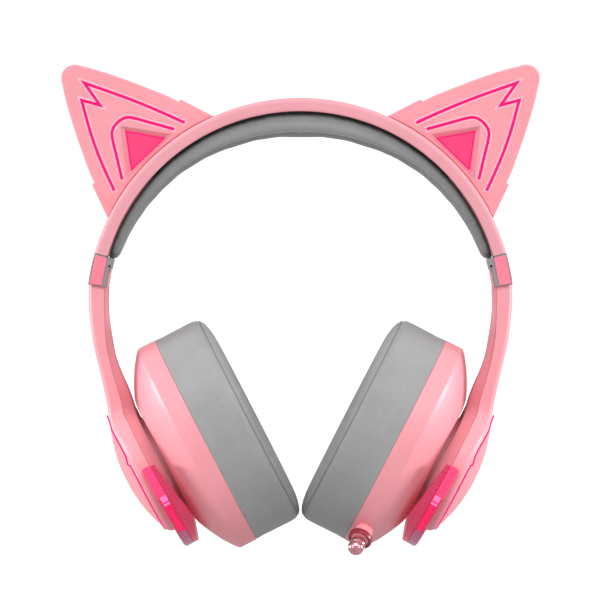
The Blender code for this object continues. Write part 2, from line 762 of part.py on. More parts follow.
def build_ports(housing):
    """A flat boss on the rear of the rim, with the plate that frames the two sockets."""
    frame = rim_frame(PORT_ANGLE, PORT_HEIGHT)
    face = PORT_PROUD
    join(housing, block((-13.5, -2.4, -3.9), (13.5, face, 3.9)), frame)
    cut(housing, block((-12.5, face - 1.3, -3.1), (12.5, face + 1, 3.1)), frame)
    cut(housing, block((USB_PLACE - 5.1, -12, -2.3), (USB_PLACE + 5.1, 3, 2.3)), frame)
    cut(housing, rod(3.0, -14, 3, "Y"), moved(frame, x=JACK_PLACE))
    cover = add("port_plate", block((-12.2, face - 1.0, -2.8), (12.2, face + 0.2, 2.8)), frame, DARK)
    cut(cover, block((USB_PLACE - 4.5, -3, -1.6), (USB_PLACE + 4.5, 3, 1.6)), frame)
    cut(cover, rod(JACK_RADIUS, -3, 3, "Y"), moved(frame, x=JACK_PLACE))
    back = face - 1.3
    usb = add("usb_socket", block((USB_PLACE - 4.7, -8, -1.9), (USB_PLACE + 4.7, back, 1.9)), frame, STEEL)
    cut(usb, block((USB_PLACE - 4.2, -7, -1.3), (USB_PLACE + 4.2, 3, 1.3)), frame)
    jack = add("audio_socket", rod(2.6, -10, back, "Y"), moved(frame, x=JACK_PLACE), DARK)
    cut(jack, rod(JACK_RADIUS, -9, 3, "Y"), moved(frame, x=JACK_PLACE))
    return [cover, usb, jack]


def axis_empty(name, frame, parent=None):
    empty = bpy.data.objects.new(name, None)
    empty.empty_display_size = 0.01
    empty.matrix_world = frame
    PARTS.objects.link(empty)
    if parent:
        hang([empty], parent)
    return empty


def hang(objects, parent):
    """Parents the objects without moving them."""
    bpy.context.view_layer.update()
    for obj in objects:
        place = obj.matrix_world.copy()
        obj.parent = parent
        obj.matrix_parent_inverse = parent.matrix_world.inverted()
        obj.matrix_world = place


def shade(obj):
    obj.data.shade_smooth()
    obj.data.set_sharp_from_angle(angle=math.radians(35))


def left_twins(objects):
    return [twin(obj, obj.name.replace("right_", "left_")) for obj in objects]


def main():
    build_headband()
    ears = build_ear()
    left_twins(ears)
    arms = {"right": build_slider() + build_arm()}
    arms["left"] = left_twins(arms["right"])
    crosses = {"right": build_pivot()}
    crosses["left"] = left_twins([crosses["right"]])[0]
    cups = {"right": build_cup()}
    cups["left"] = left_twins(cups["right"])

    left_housing = cup_housing("left_cup_housing")
    mic = build_microphone(left_housing)
    buttons = [build_button(name, left_housing) for name in BUTTON_ANGLES]
    fixed = [left_housing, mic["fixed"], *build_ports(left_housing)]
    fixed.append(add("main_board", block((-36, -17, 7.6), (-6, 17, 9.0)), cup_frame(), BOARD))
    cups["left"] += [moved_to_left(obj) for obj in fixed]
    sliding = [moved_to_left(obj) for obj in mic["mic"]]
    pressed = [moved_to_left(obj) for obj in buttons]
    cups["right"].append(cup_housing("right_cup_housing"))
    battery = block((-21, -15, 6.4), (21, 15, 10.6))
    cups["right"].append(add("battery", battery, cup_frame(), BATTERY))

    for side in ("right", "left"):
        flip = Matrix() if side == "right" else MIRROR
        pivot = Matrix.Translation(flip @ (cup_frame() @ Vector((0, 0, PIVOT_HEIGHT * MM))))
        slide = axis_empty(side + "_slide_axis", Matrix.Translation(flip @ slide_frame().translation))
        tilt = axis_empty(side + "_tilt_axis", pivot, slide)
        turn = axis_empty(side + "_turn_axis", pivot, tilt)
        hang(arms[side], slide)
        hang([crosses[side]], tilt)
        hang(cups[side], turn)
        if side == "left":
            hang(sliding + pressed, turn)
    for obj in PARTS.objects:
        if obj.type == "MESH":
            shade(obj)


clear_scene()
PARTS = new_collection(NAME)
CUTTERS = new_collection("cutters")
SHELL = new_material("shell_pink", PINK, 0.45)
TRIM = new_material("trim_pink", (0.75, 0.26, 0.31), 0.5)
INSERT = new_material("insert_pink", (1.0, 0.26, 0.35), 0.35)
TRIM_GREY = new_material("block_grey", GREY, 0.5)
SOFT = new_material("leatherette", (0.36, 0.36, 0.37), 0.6)
CLOTH = new_material("scrim_cloth", (0.12, 0.12, 0.13), 0.9)
DARK = new_material("dark_plastic", (0.05, 0.05, 0.055), 0.55)
STEEL = new_material("steel", (0.6, 0.6, 0.62), 0.3, 1.0)
NEON = new_material("light_line", (1.0, 0.02, 0.2), 0.3)
LENS = new_material("light_lens", (0.9, 0.08, 0.25), 0.2)
BOARD = new_material("board_green", (0.02, 0.16, 0.07), 0.5)
BATTERY = new_material("battery_foil", (0.35, 0.36, 0.4), 0.4, 0.3)
COLLAR = new_material("collar_crimson", (0.3, 0.02, 0.05), 0.4)
CHROME_PINK = new_material("tip_metal", (0.9, 0.35, 0.42), 0.15, 1.0)
main()
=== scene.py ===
import json
import math

import bmesh
import bpy
from mathutils import Matrix, Vector
from mathutils.bvhtree import BVHTree


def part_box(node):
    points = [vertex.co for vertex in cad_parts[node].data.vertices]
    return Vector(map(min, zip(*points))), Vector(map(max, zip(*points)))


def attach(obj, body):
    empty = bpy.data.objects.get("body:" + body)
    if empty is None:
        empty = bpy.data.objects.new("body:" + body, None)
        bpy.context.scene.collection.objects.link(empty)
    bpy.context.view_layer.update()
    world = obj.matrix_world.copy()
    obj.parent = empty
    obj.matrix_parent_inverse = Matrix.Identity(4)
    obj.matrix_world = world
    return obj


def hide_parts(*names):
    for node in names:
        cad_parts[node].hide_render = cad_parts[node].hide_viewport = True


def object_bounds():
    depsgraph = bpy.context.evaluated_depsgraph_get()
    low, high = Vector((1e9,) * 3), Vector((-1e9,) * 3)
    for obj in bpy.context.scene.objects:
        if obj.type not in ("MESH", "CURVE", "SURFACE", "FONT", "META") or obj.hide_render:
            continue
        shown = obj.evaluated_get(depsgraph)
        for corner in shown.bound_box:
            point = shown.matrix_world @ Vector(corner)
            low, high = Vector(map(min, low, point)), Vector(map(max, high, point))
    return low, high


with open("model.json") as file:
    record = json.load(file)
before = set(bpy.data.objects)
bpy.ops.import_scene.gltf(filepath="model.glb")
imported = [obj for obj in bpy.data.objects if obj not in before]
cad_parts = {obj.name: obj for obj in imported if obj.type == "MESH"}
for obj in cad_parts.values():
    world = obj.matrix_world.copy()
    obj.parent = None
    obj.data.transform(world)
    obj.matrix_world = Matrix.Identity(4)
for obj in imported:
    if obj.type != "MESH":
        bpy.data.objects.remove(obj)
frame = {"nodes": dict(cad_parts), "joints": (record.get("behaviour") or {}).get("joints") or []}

CAD_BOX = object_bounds()
MM = 0.001

# ---------------- measures, in millimetres
JOINTS = {joint["name"]: joint for joint in frame["joints"]}
BAND_OUTER = 96.3
BAND_INNER = 89.9
BAND_HALF_WIDTH = 15.0
BAND_ROOF = 94.8
BAND_END = 73.8
BAND_CENTRE_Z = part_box("headband_shell")[1].z / MM - BAND_OUTER
PAD_TOP = 89.6
PAD_THICKNESS = ((0, 11.0), (20, 9.9), (41, 7.6), (64, 5.6), (71, 5.0), (75, 4.8))
PAD_END = 74.35
PAD_HALF_WIDTH = 13.6
STRIP_RADIUS = 90.7
STRIP_INSIDE = 25.0
STRIP_HALF_WIDTH = 7.0
BLOCK_START = 74.15
BLOCK_END = 82.6
BLOCK_INNER = 87.8
BLOCK_LIP = 87.05
BLOCK_OUTER = 95.9
BLOCK_HALF_WIDTH = 14.4
INSERT_INNER = 89.85
INSERT_OUTER = 95.45
PIN_ARC_RADIUS = 87.9
PIN_ANGLE = 76.5

PIVOT_HEIGHT = 16.8
PIVOT_PIN_PLACE = 8.0
PIVOT_PIN_HOLE = 1.5
PIVOT = Vector(JOINTS["right_cup_turn"]["pos_m"]) / MM
DOWN = Vector(JOINTS["right_cup_turn"]["axis"]).normalized()
OUT = Vector((DOWN.z, 0, -DOWN.x))
CUP_HALF_HEIGHT = 50.3
CUP_OVAL = 42.0 / CUP_HALF_HEIGHT
RIM_HEIGHT = 8.4
CUSHION_DEPTH = 24.6
RECESS_RADIUS = 26.5
RECESS_FLOOR = 13.0

# The arm's edges in the front view, from the hinge block down to the disc, as (x, z)
ARM_OUTER_EDGE = (
    (-95.2, -67.15), (-95.2, -77.0), (-93.4, -92.6),
    (-89.8, -108.2), (-87.0, -120.9), (-86.4, -127.0),
)
ARM_SPLIT = (
    (-87.8, -67.85), (-87.8, -78.9), (-87.1, -92.6),
    (-84.4, -105.5), (-81.0, -117.0), (-79.6, -123.4),
)
ARM_INNER_EDGE = (
    (-86.2, -68.0), (-86.3, -78.9), (-84.8, -90.5),
    (-82.6, -101.0), (-77.2, -114.5), (-74.7, -121.9),
)
ARM_HALF_WIDTH = 13.0
NECK_FILLET = 10.0
SHELL_CROWN = 0.8
SHELL_ROUND = 1.8
DISC_RADIUS = 29.5
DISC_APEX = 40.3
DISC_DROP = 6.9
DISC_SPLIT = 27.4
DISC_INNER_FACE = 21.9
DISC_COLLAR = 22.0
DISC_COLLAR_END = 17.4
DISC_LINE = 27.2
DISC_NOTCH = 2.0
DISC_NEON = 0.7
DISC_GUIDE = 0.97
NECK_HEIGHTS = ((-28.8, 34.65), (-20, 37.4), (-12, 39.35), (0, 40.3))
PARTING = 0.12
COVER_CHAMFER = 5.2
ARM_CHAMFER = 2.6

BAR_INNER = 30.1
BAR_BOTTOM = 38.7
BAR_SIDE = 35.0
BAR_HEIGHT = 28.0
BAR_LEAN = 1.3
BAR_WING_DEPTH = 2.6
BAR_WING = ((-1.0, 24.8), (26.9, 21.0), (39.0, 24.5))

EAR_ANGLE = 44.0
EAR_HALF_THICK = 6.5
EAR_TIP = 152.2
EAR_TIP_RADIUS = 6.2
EAR_TIP_TURN = 29.0
EAR_EDGE = ((12.2, 137.5), (20.2, 121.0), (26.2, 106.5))
EAR_FOOT = 28.4
EAR_SEAT = 96.33
SHOE_TOP = 27.7
SHOE_FOOT = 33.0
SHOE_HEIGHT = 106.2
SHOE_SCREWS = (-14, 14)
SHOE_SCREW_HEIGHT = 101.6
OUTER_LINE_SIDES = (
    ((21.7, 97.2), (15.4, 112.8), (9.5, 125.7), (1.6, 141.5)),
    ((-4.6, 136.7), (-11.8, 123.5), (-17.3, 111.2), (-22.3, 97.2)),
)
OUTER_LINE_NOTCH = (-0.2, 129.3)
INNER_LINE_HALF = ((16.3, 98.4), (10.6, 108.0), (6.9, 114.3), (4.2, 117.3), (0.0, 118.3))
WINDOW = ((0.0, 113.5), (-10.8, 98.4), (10.8, 98.4))
WINDOW_FRAME = ((0.0, 116.4), (-14.2, 97.4), (14.2, 97.4))
LINE_WIDTH = 1.4
GUIDE_WIDTH = 2.8

MIC_FOOT = (40.4, 22.0, 5.9)
MIC_DIRECTION = (0.75, 0.66)
BUTTON_HEIGHT = 4.6
BUTTON_ANGLES = {
    "power_button": -116,
    "volume_up_button": -98,
    "volume_down_button": -82,
    "mode_button": -64,
}
PORT_ANGLE = -38
PORT_HEIGHT = 4.5
PORT_PROUD = 0.8
USB_PLACE = -6.0
JACK_PLACE = 7.0

CAMERA_DISTANCE = 3.0
VIEW_WIDTH = 0.27
FLOOR_DROP = 0.08

CLOTH_THREADS = 1500
PAD_PRESSURE = 4.0
PAD_FRAMES = 20

MIRROR = Matrix.Scale(-1, 4, (1, 0, 0))
BOTH = ("right", "left")
LEFT = ("left",)
MIDDLE = ("middle",)


# ---------------- frames, in millimetres inside
def frame_at(origin, x_axis, y_axis, z_axis):
    rotation = Matrix((x_axis, y_axis, z_axis)).transposed().to_4x4()
    return Matrix.Translation(Vector(origin) * MM) @ rotation @ Matrix.Scale(MM, 4)


def moved(place, x=0.0, y=0.0, z=0.0):
    return place @ Matrix.Translation((x, y, z))


def turned_axes(origin, x_axis, y_axis, z_axis):
    """A local frame inside another one, without scale."""
    rotation = Matrix((x_axis, y_axis, z_axis)).transposed().to_4x4()
    return Matrix.Translation(origin) @ rotation


def polar(radius, degrees):
    """A point of the front view about the band's centre, from the crown towards -X."""
    angle = math.radians(degrees)
    return (-radius * math.sin(angle), radius * math.cos(angle))


FRONT = frame_at((0, 0, 0), (1, 0, 0), (0, 0, 1), (0, -1, 0))
BAND = moved(FRONT, y=BAND_CENTRE_Z)
CUP_ORIGIN = PIVOT - OUT * PIVOT_HEIGHT
CUP = frame_at(CUP_ORIGIN, DOWN, (0, -1, 0), OUT)


def slide_place():
    along = Vector(JOINTS["right_slider"]["axis"]).normalized()
    x, z = polar(STRIP_RADIUS, BAND_END)
    return frame_at((x, 0, z + BAND_CENTRE_Z), along, (0, -1, 0), (along.z, 0, -along.x))


def ear_place():
    angle = math.radians(EAR_ANGLE)
    along = (math.cos(angle), 0, math.sin(angle))
    out = (-math.sin(angle), 0, math.cos(angle))
    return frame_at((0, 0, BAND_CENTRE_Z), along, out, (0, -1, 0))


def rim_place(degrees, height):
    """On the cup's rim wall: x along the rim, y outward through it, z away from the head."""
    angle = math.radians(degrees)
    half_x, half_y = CUP_HALF_HEIGHT, CUP_HALF_HEIGHT * CUP_OVAL
    place = (half_x * math.cos(angle), half_y * math.sin(angle), height)
    out = Vector((half_y * math.cos(angle), half_x * math.sin(angle), 0)).normalized()
    return CUP @ turned_axes(place, (out.y, -out.x, 0), out, (0, 0, 1))


def mic_place():
    along = Vector((*MIC_DIRECTION, 0)).normalized()
    return CUP @ turned_axes(MIC_FOOT, Vector((0, 0, 1)).cross(along), (0, 0, 1), along)


SLIDE = slide_place()
EAR = ear_place()
MIC = mic_place()


def in_cup(point):
    """A front-view point (x, z) as (down, out) in the cup frame."""
    place = Vector((point[0], 0, point[1])) - CUP_ORIGIN
    return place.dot(DOWN), place.dot(OUT)


# ---------------- lines and outlines
def spline(a, b, c, d, t):
    """One coordinate of a Catmull-Rom span from b to c."""
    square = 2 * a - 5 * b + 4 * c - d
    cube = 3 * b - a - 3 * c + d
    return 0.5 * (2 * b + (c - a) * t + square * t**2 + cube * t**3)


def eased(points, per_span=4):
    """A smooth line through the points (Catmull-Rom)."""
    ends = [points[0], *points, points[-1]]
    line = []
    for p0, p1, p2, p3 in zip(ends, ends[1:], ends[2:], ends[3:]):
        for i in range(per_span):
            t = i / per_span
            line.append(tuple(spline(*places, t) for places in zip(p0, p1, p2, p3)))
    return line + [tuple(points[-1])]


def between(table, x):
    """Linear reading of a table of (x, y) pairs."""
    for (x0, y0), (x1, y1) in zip(table, table[1:]):
        if x <= x1:
            return y0 + (y1 - y0) * max(0.0, (x - x0) / (x1 - x0))
    return table[-1][1]


def smooth_step(low, high, x):
    t = min(1.0, max(0.0, (x - low) / (high - low)))
    return t * t * (3 - 2 * t)


def rounded(points, radius, steps=4):
    """A closed outline with each corner replaced by an arc."""
    line = []
    corners = [Vector(p) for p in points]
    for i, corner in enumerate(corners):
        before = (corners[i - 1] - corner).normalized()
        after = (corners[(i + 1) % len(corners)] - corner).normalized()
        half = math.acos(max(-1.0, min(1.0, before.dot(after)))) / 2
        reach = radius / math.tan(half)
        start, end = corner + before * reach, corner + after * reach
        for k in range(steps + 1):
            t = k / steps
            line.append(tuple(start * (1 - t) ** 2 + corner * 2 * t * (1 - t) + end * t**2))
    return line


def strip_outline(points, width):
    """The closed outline of a line of even width, with mitred corners."""
    line = [Vector(p) for p in points]
    sides = ([], [])
    for i, here in enumerate(line):
        before = (here - line[i - 1]).normalized() if i else (line[1] - here).normalized()
        after = (line[i + 1] - here).normalized() if i + 1 < len(line) else before
        normal = Vector((-before.y - after.y, before.x + after.x)).normalized()
        reach = width / 2 / normal.dot(Vector((-before.y, before.x)))
        sides[0].append(tuple(here + normal * reach))
        sides[1].append(tuple(here - normal * reach))
    return sides[0] + sides[1][::-1]


def lengthened(points, extra):
    """The line made longer by the same amount at both ends."""
    line = [Vector(p) for p in points]
    first = line[0] + (line[0] - line[1]).normalized() * extra
    last = line[-1] + (line[-1] - line[-2]).normalized() * extra
    return [tuple(first), *points[1:-1], tuple(last)]


def mirrored_outline(half):
    return list(half) + [(-x, y) for x, y in reversed(half) if x > 1e-6]


def sector(inner, outer, start, end, steps):
    """The closed outline between two radii and two angles."""
    turns = [start + (end - start) * i / steps for i in range(steps + 1)]
    return [polar(outer, a) for a in turns] + [polar(inner, a) for a in reversed(turns)]


def circle(radius, steps, height=0.0):
    turns = [2 * math.pi * i / steps for i in range(steps)]
    return [(radius * math.cos(a), radius * math.sin(a), height) for a in turns]


# ---------------- meshes
def mesh_of(points, faces):
    mesh = bpy.data.meshes.new("shape")
    mesh.from_pydata([tuple(p) for p in points], [], faces)
    return cleaned(mesh)


def cleaned(mesh, within=0.0005):
    """Welds near points, drops collapsed faces and turns all faces outward."""
    shape = bmesh.new()
    shape.from_mesh(mesh)
    bmesh.ops.remove_doubles(shape, verts=shape.verts, dist=within)
    bmesh.ops.dissolve_degenerate(shape, edges=shape.edges, dist=within)
    bmesh.ops.recalc_face_normals(shape, faces=shape.faces)
    shape.to_mesh(mesh)
    shape.free()
    return mesh


def lofted(rows, ring=True, closed=False, capped=True):
    """A skin over rows of points: ring joins each row's ends, closed joins the last row to the first."""
    count = len(rows[0])
    points = [p for row in rows for p in row]
    faces = []
    for i in range(len(rows) if closed else len(rows) - 1):
        for j in range(count if ring else count - 1):
            a, b = i * count, (i + 1) % len(rows) * count
            k = (j + 1) % count
            faces.append((a + j, b + j, b + k, a + k))
    if ring and capped and not closed:
        faces.append(tuple(range(count)))
        faces.append(tuple((len(rows) - 1) * count + j for j in range(count)))
    return mesh_of(points, faces)


def turned(profile, steps, ratio=1.0):
    """A profile of (radius, height) turned about z. It is closed, or has both its ends on the axis."""
    rows = []
    for i in range(steps):
        angle = 2 * math.pi * i / steps
        rows.append([(r * math.cos(angle), r * math.sin(angle) * ratio, z) for r, z in profile])
    return lofted(rows, ring=profile[0][0] > 0, closed=True)


def plate(outline, low, high):
    return lofted([[(x, y, z) for x, y in outline] for z in (low, high)])


def box_mesh(low, high):
    corners = ((low[0], low[1]), (high[0], low[1]), (high[0], high[1]), (low[0], high[1]))
    return plate(corners, low[2], high[2])


def rod(radius, low, high, axis="Z", sides=32):
    mesh = lofted([circle(radius, sides, z) for z in (low, high)])
    if axis == "X":
        mesh.transform(Matrix.Rotation(math.pi / 2, 4, "Y"))
    if axis == "Y":
        mesh.transform(Matrix.Rotation(-math.pi / 2, 4, "X"))
    return mesh


def tube(path, radius, sides=10, closed=False):
    """A round line along a path."""
    points = [Vector(p) for p in path]
    count = len(points)
    rows = []
    side = None
    for i, here in enumerate(points):
        before = points[i - 1] if closed or i else here
        after = points[(i + 1) % count] if closed or i + 1 < count else here
        along = (after - before).normalized()
        if side is None:
            side = along.orthogonal()
        side = (side - along * side.dot(along)).normalized()
        other = along.cross(side)
        rows.append([here + side * x + other * y for x, y, _ in circle(radius, sides)])
    return lofted(rows, closed=closed)


def joined(meshes):
    """Several separate closed shapes as one mesh."""
    shape = bmesh.new()
    for mesh in meshes:
        shape.from_mesh(mesh)
    result = bpy.data.meshes.new("joined")
    shape.to_mesh(result)
    shape.free()
    return result


def transformed(mesh, matrix):
    copy = mesh.copy()
    copy.transform(matrix)
    return copy


def shifted(mesh, x=0.0, y=0.0, z=0.0):
    return transformed(mesh, Matrix.Translation((x, y, z)))


def modified(mesh, kind, **settings):
    """The mesh with one modifier applied."""
    helper = bpy.data.objects.new("helper", mesh)
    bpy.context.scene.collection.objects.link(helper)
    modifier = helper.modifiers.new("change", kind)
    for key, value in settings.items():
        setattr(modifier, key, value)
    bpy.context.view_layer.update()
    graph = bpy.context.evaluated_depsgraph_get()
    result = bpy.data.meshes.new_from_object(helper.evaluated_get(graph))
    bpy.data.objects.remove(helper)
    return result


def bevelled(mesh, width, segments=3, angle=40):
    limit = math.radians(angle)
    return modified(mesh, "BEVEL", width=width, segments=segments, limit_method="ANGLE", angle_limit=limit)


def combined(mesh, other, operation):
    tool = bpy.data.objects.new("tool", other)
    bpy.context.scene.collection.objects.link(tool)
    result = modified(mesh, "BOOLEAN", object=tool, operation=operation, solver="EXACT")
    bpy.data.objects.remove(tool)
    return cleaned(result)


def cut(mesh, other):
    return combined(mesh, other, "DIFFERENCE")


def united(mesh, other):
    return combined(mesh, other, "UNION")


# ---------------- pieces
def sided(name, side):
    """A name that starts with an underscore takes the side before it."""
    return side + name if name.startswith("_") else name


def show(name, mesh, place, look, body, node=None, sides=BOTH, sharp=35, flat=True):
    """One piece for each side. It is built for the wearer's right and mirrored for the left. node is
    the CAD node that the piece stands for, sharp the angle from which an edge stays crisp, and flat
    keeps wide faces flat beside rounded edges."""
    material, slot = look
    made = []
    for side in sides:
        copy = mesh.copy()
        copy.transform(MIRROR @ place if side == "left" else place)
        if side == "left":
            copy.flip_normals()
        copy.materials.clear()
        copy.materials.append(material)
        copy.shade_smooth()
        copy.set_sharp_from_angle(angle=math.radians(sharp))
        if flat:
            copy = modified(copy, "WEIGHTED_NORMAL", keep_sharp=True)
        obj = bpy.data.objects.new(sided(name, side), copy)
        copy.name = obj.name
        bpy.context.scene.collection.objects.link(obj)
        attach(obj, sided(body, side))
        if node:
            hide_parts(sided(node, side))
        made.append(obj)
    return made


# ---------------- materials
class Look:
    """A material, with a short way to write its nodes."""

    def __init__(self, name):
        self.material = bpy.data.materials.new(name)
        self.material.use_nodes = True
        self.tree = self.material.node_tree
        self.place = self.add("TexCoord", "Object", {})

    def feed(self, node, inputs):
        """Fills a node's inputs, each with a number, a colour or another node's output."""
        for socket, value in inputs.items():
            if isinstance(value, bpy.types.NodeSocket):
                self.tree.links.new(value, node.inputs[socket])
            else:
                node.inputs[socket].default_value = value

    def add(self, kind, output, inputs, **settings):
        """One output of a new node."""
        node = self.tree.nodes.new("ShaderNode" + kind)
        for key, value in settings.items():
            setattr(node, key, value)
        self.feed(node, inputs)
        return node.outputs[output]

    def finished(self, slot, inputs):
        """The material with its surface filled in, and the slot that it stands for."""
        self.feed(self.tree.nodes["Principled BSDF"], inputs)
        return self.material, slot

    def noise(self, scale, detail=3.0, rough=0.55, stretch=None):
        place = self.place
        if stretch:
            place = self.add("Mapping", "Vector", {"Vector": place, "Scale": stretch})
        inputs = {"Vector": place, "Scale": scale, "Detail": detail, "Roughness": rough}
        return self.add("TexNoise", "Fac", inputs)

    def cells(self, scale):
        inputs = {"Vector": self.place, "Scale": scale}
        return self.add("TexVoronoi", "Distance", inputs, feature="DISTANCE_TO_EDGE")

    def ramp(self, factor, *stops):
        """A colour ramp between two stops of (position, colour)."""
        output = self.add("ValToRGB", "Color", {"Fac": factor})
        for element, (position, colour) in zip(output.node.color_ramp.elements, stops):
            element.position = position
            element.color = (*colour, 1)
        return output

    def spread(self, factor, low, high, start=0.3, end=0.7):
        """A factor from start to end, read as a number from low to high."""
        inputs = {"Value": factor, "From Min": start, "From Max": end, "To Min": low, "To Max": high}
        return self.add("MapRange", "Result", inputs)

    def math(self, operation, first, second):
        return self.add("Math", "Value", {0: first, 1: second}, operation=operation)

    def mixed(self, factor, first, second, blend="MIX"):
        """Two colour outputs mixed by a factor."""
        inputs = {0: factor, 6: first, 7: second}
        return self.add("Mix", 2, inputs, data_type="RGBA", blend_type=blend)

    def distance(self, centre, weights):
        """Distance from a point of the row frame, with each axis weighted."""
        away = self.add("VectorMath", "Vector", {0: self.place, 1: centre}, operation="SUBTRACT")
        away = self.add("VectorMath", "Vector", {0: away, 1: weights}, operation="MULTIPLY")
        return self.add("VectorMath", "Value", {0: away}, operation="LENGTH")

    def bump(self, height, strength, depth):
        return self.add("Bump", "Normal", {"Height": height, "Strength": strength, "Distance": depth})


def tinted(colour, factor):
    return tuple(min(1.0, c * factor) for c in colour)


def moulded(name, slot, colour, roughness, texture=0.15, coat=0.0, grain=2600):
    """Moulded plastic: faint clouding, a fine spark-eroded texture and uneven gloss."""
    look = Look(name)
    fine = look.noise(grain, 4.0, 0.6)
    clouds = look.noise(45, 2.0)
    return look.finished(slot, {
        "Base Color": look.ramp(clouds, (0.3, tinted(colour, 0.97)), (0.7, tinted(colour, 1.03))),
        "Roughness": look.spread(fine, roughness - 0.05, roughness + 0.07),
        "Coat Weight": coat,
        "Coat Roughness": 0.2,
        "Normal": look.bump(fine, texture, 0.00004),
    })


def glowing(name, slot, colour, glow, strength, roughness=0.3):
    """A lit light guide: its glow is a little uneven along the line."""
    look = Look(name)
    waves = look.noise(160, 2.0)
    return look.finished(slot, {
        "Base Color": look.ramp(waves, (0.3, tinted(colour, 0.85)), (0.7, colour)),
        "Emission Color": look.ramp(waves, (0.25, tinted(glow, 0.9)), (0.75, glow)),
        "Emission Strength": strength,
        "Roughness": look.spread(look.noise(900), roughness - 0.06, roughness + 0.08),
        "Specular IOR Level": 0.2,
    })


def leather(name, base, shaded, centre=None, radii=None, overhang_painted_shade=None):
    """Leatherette: pebbled cells, fine creases and soft sheen. dark is painted shade under the overhang of
    the
    band: that colour is mixed in across radii about centre, strongest nearest the band."""
    look = Look(name)
    pebbles = look.cells(1350)
    creases = look.noise(420, 5.0, 0.65)
    clouds = look.noise(60, 3.0)
    tone = look.ramp(clouds, (0.3, shaded), (0.7, base))
    # Painted shade: a deeper grey mixed in towards the band, standing in for the shadow of its overhang.
    if centre is not None:
        share = look.spread(look.distance(centre, (1, 0, 1)), 0.0, 1.0, *radii)
        deep = look.ramp(clouds, (0.3, tinted(overhang_painted_shade, 0.92)), (0.7, overhang_painted_shade))
        tone = look.mixed(share, tone, deep)
    valleys = look.ramp(pebbles, (0.0, (0.82, 0.82, 0.82)), (0.12, (1, 1, 1)))
    height = look.math("ADD", look.math("MINIMUM", pebbles, 0.16), look.math("MULTIPLY", creases, 0.35))
    return look.finished("leatherette", {
        "Base Color": look.mixed(1.0, tone, valleys, "MULTIPLY"),
        "Roughness": look.spread(creases, 0.5, 0.68),
        "Sheen Weight": 0.06,
        "Sheen Roughness": 0.5,
        "Normal": look.bump(height, 0.35, 0.00012),
    })


def woven(name, slot, colour):
    """A plain weave: two crossed sets of ridges with a little fluff."""
    look = Look(name)
    waves = {"Vector": look.place, "Scale": CLOTH_THREADS / 6.3, "Distortion": 0.4}
    ridges = [look.add("TexWave", "Fac", waves, bands_direction=way) for way in ("Y", "Z")]
    crossing = look.math("MULTIPLY", *ridges)
    return look.finished(slot, {
        "Base Color": look.ramp(crossing, (0.0, tinted(colour, 0.45)), (0.6, colour)),
        "Roughness": look.spread(look.noise(800), 0.85, 0.98),
        "Normal": look.bump(crossing, 0.6, 0.0002),
    })


def brushed(name, slot, colour, roughness, stretch=(900, 60, 60)):
    """Metal with fine drawn lines."""
    look = Look(name)
    lines = look.noise(1.0, 4.0, 0.6, stretch)
    return look.finished(slot, {
        "Base Color": look.ramp(lines, (0.3, tinted(colour, 0.86)), (0.7, colour)),
        "Roughness": look.spread(lines, roughness - 0.06, roughness + 0.1),
        "Metallic": 1.0,
        "Normal": look.bump(lines, 0.08, 0.00003),
    })


def circuit(name, slot):
    """A printed board: green lacquer with lighter traces between its blocks."""
    look = Look(name)
    blocks = look.cells(240)
    return look.finished(slot, {
        "Base Color": look.ramp(blocks, (0.0, (0.10, 0.42, 0.18)), (0.05, (0.02, 0.16, 0.07))),
        "Roughness": look.spread(look.noise(500), 0.35, 0.55),
        "Normal": look.bump(blocks, 0.2, 0.0001),
    })


def seeing_through(name, slot, colour, glow, strength):
    """Tinted translucent plastic over a lamp."""
    look = Look(name)
    clouds = look.noise(120, 2.0)
    return look.finished(slot, {
        "Base Color": look.ramp(clouds, (0.3, tinted(colour, 0.96)), (0.7, colour)),
        "Emission Color": look.ramp(clouds, (0.3, tinted(glow, 0.93)), (0.7, glow)),
        "Emission Strength": strength,
        "Transmission Weight": 0.12,
        "Coat Weight": 0.4,
        "Coat Roughness": 0.12,
        "Roughness": look.spread(look.noise(700), 0.22, 0.34),
    })


SHELL = moulded("shell_plastic", "shell_pink", (0.90, 0.335, 0.385), 0.42)
BAND_PLASTIC = moulded("band_plastic", "shell_pink", (0.80, 0.335, 0.385), 0.5, texture=0.3, grain=1900)
# Painted shade: the shell's own pink made darker, for the inner cover that faces away from the light.
SHELL_PINK_PAINTED_SHADE = moulded("trim_plastic_painted_shade", "trim_pink", (0.76, 0.27, 0.31), 0.5)
FRAME_ROSE = moulded("window_frame_plastic", "trim_pink", (0.80, 0.32, 0.39), 0.45)
INSERT = moulded("insert_plastic", "insert_pink", (0.95, 0.22, 0.31), 0.34, coat=0.3)
GREY = moulded("block_plastic", "block_grey", (0.27, 0.27, 0.275), 0.48)
# Painted shade: the hinge pin is real, but its near-black rose colour stands in for the shadow gap at the
# fold knuckle.
PIN_PAINTED_SHADOW = moulded("pin_painted_shadow_gap", "steel", (0.10, 0.02, 0.025), 0.4)
DARK = moulded("dark_plastic_look", "dark_plastic", (0.045, 0.045, 0.05), 0.55)
RUBBER = moulded("dark_rubber", "dark_plastic", (0.09, 0.085, 0.09), 0.7, texture=0.3)
COLLAR = moulded("collar_plastic", "collar_crimson", (0.30, 0.012, 0.035), 0.35, coat=0.4)
CUSHION_LEATHER = leather("cushion_leather", (0.36, 0.36, 0.365), (0.32, 0.32, 0.325))
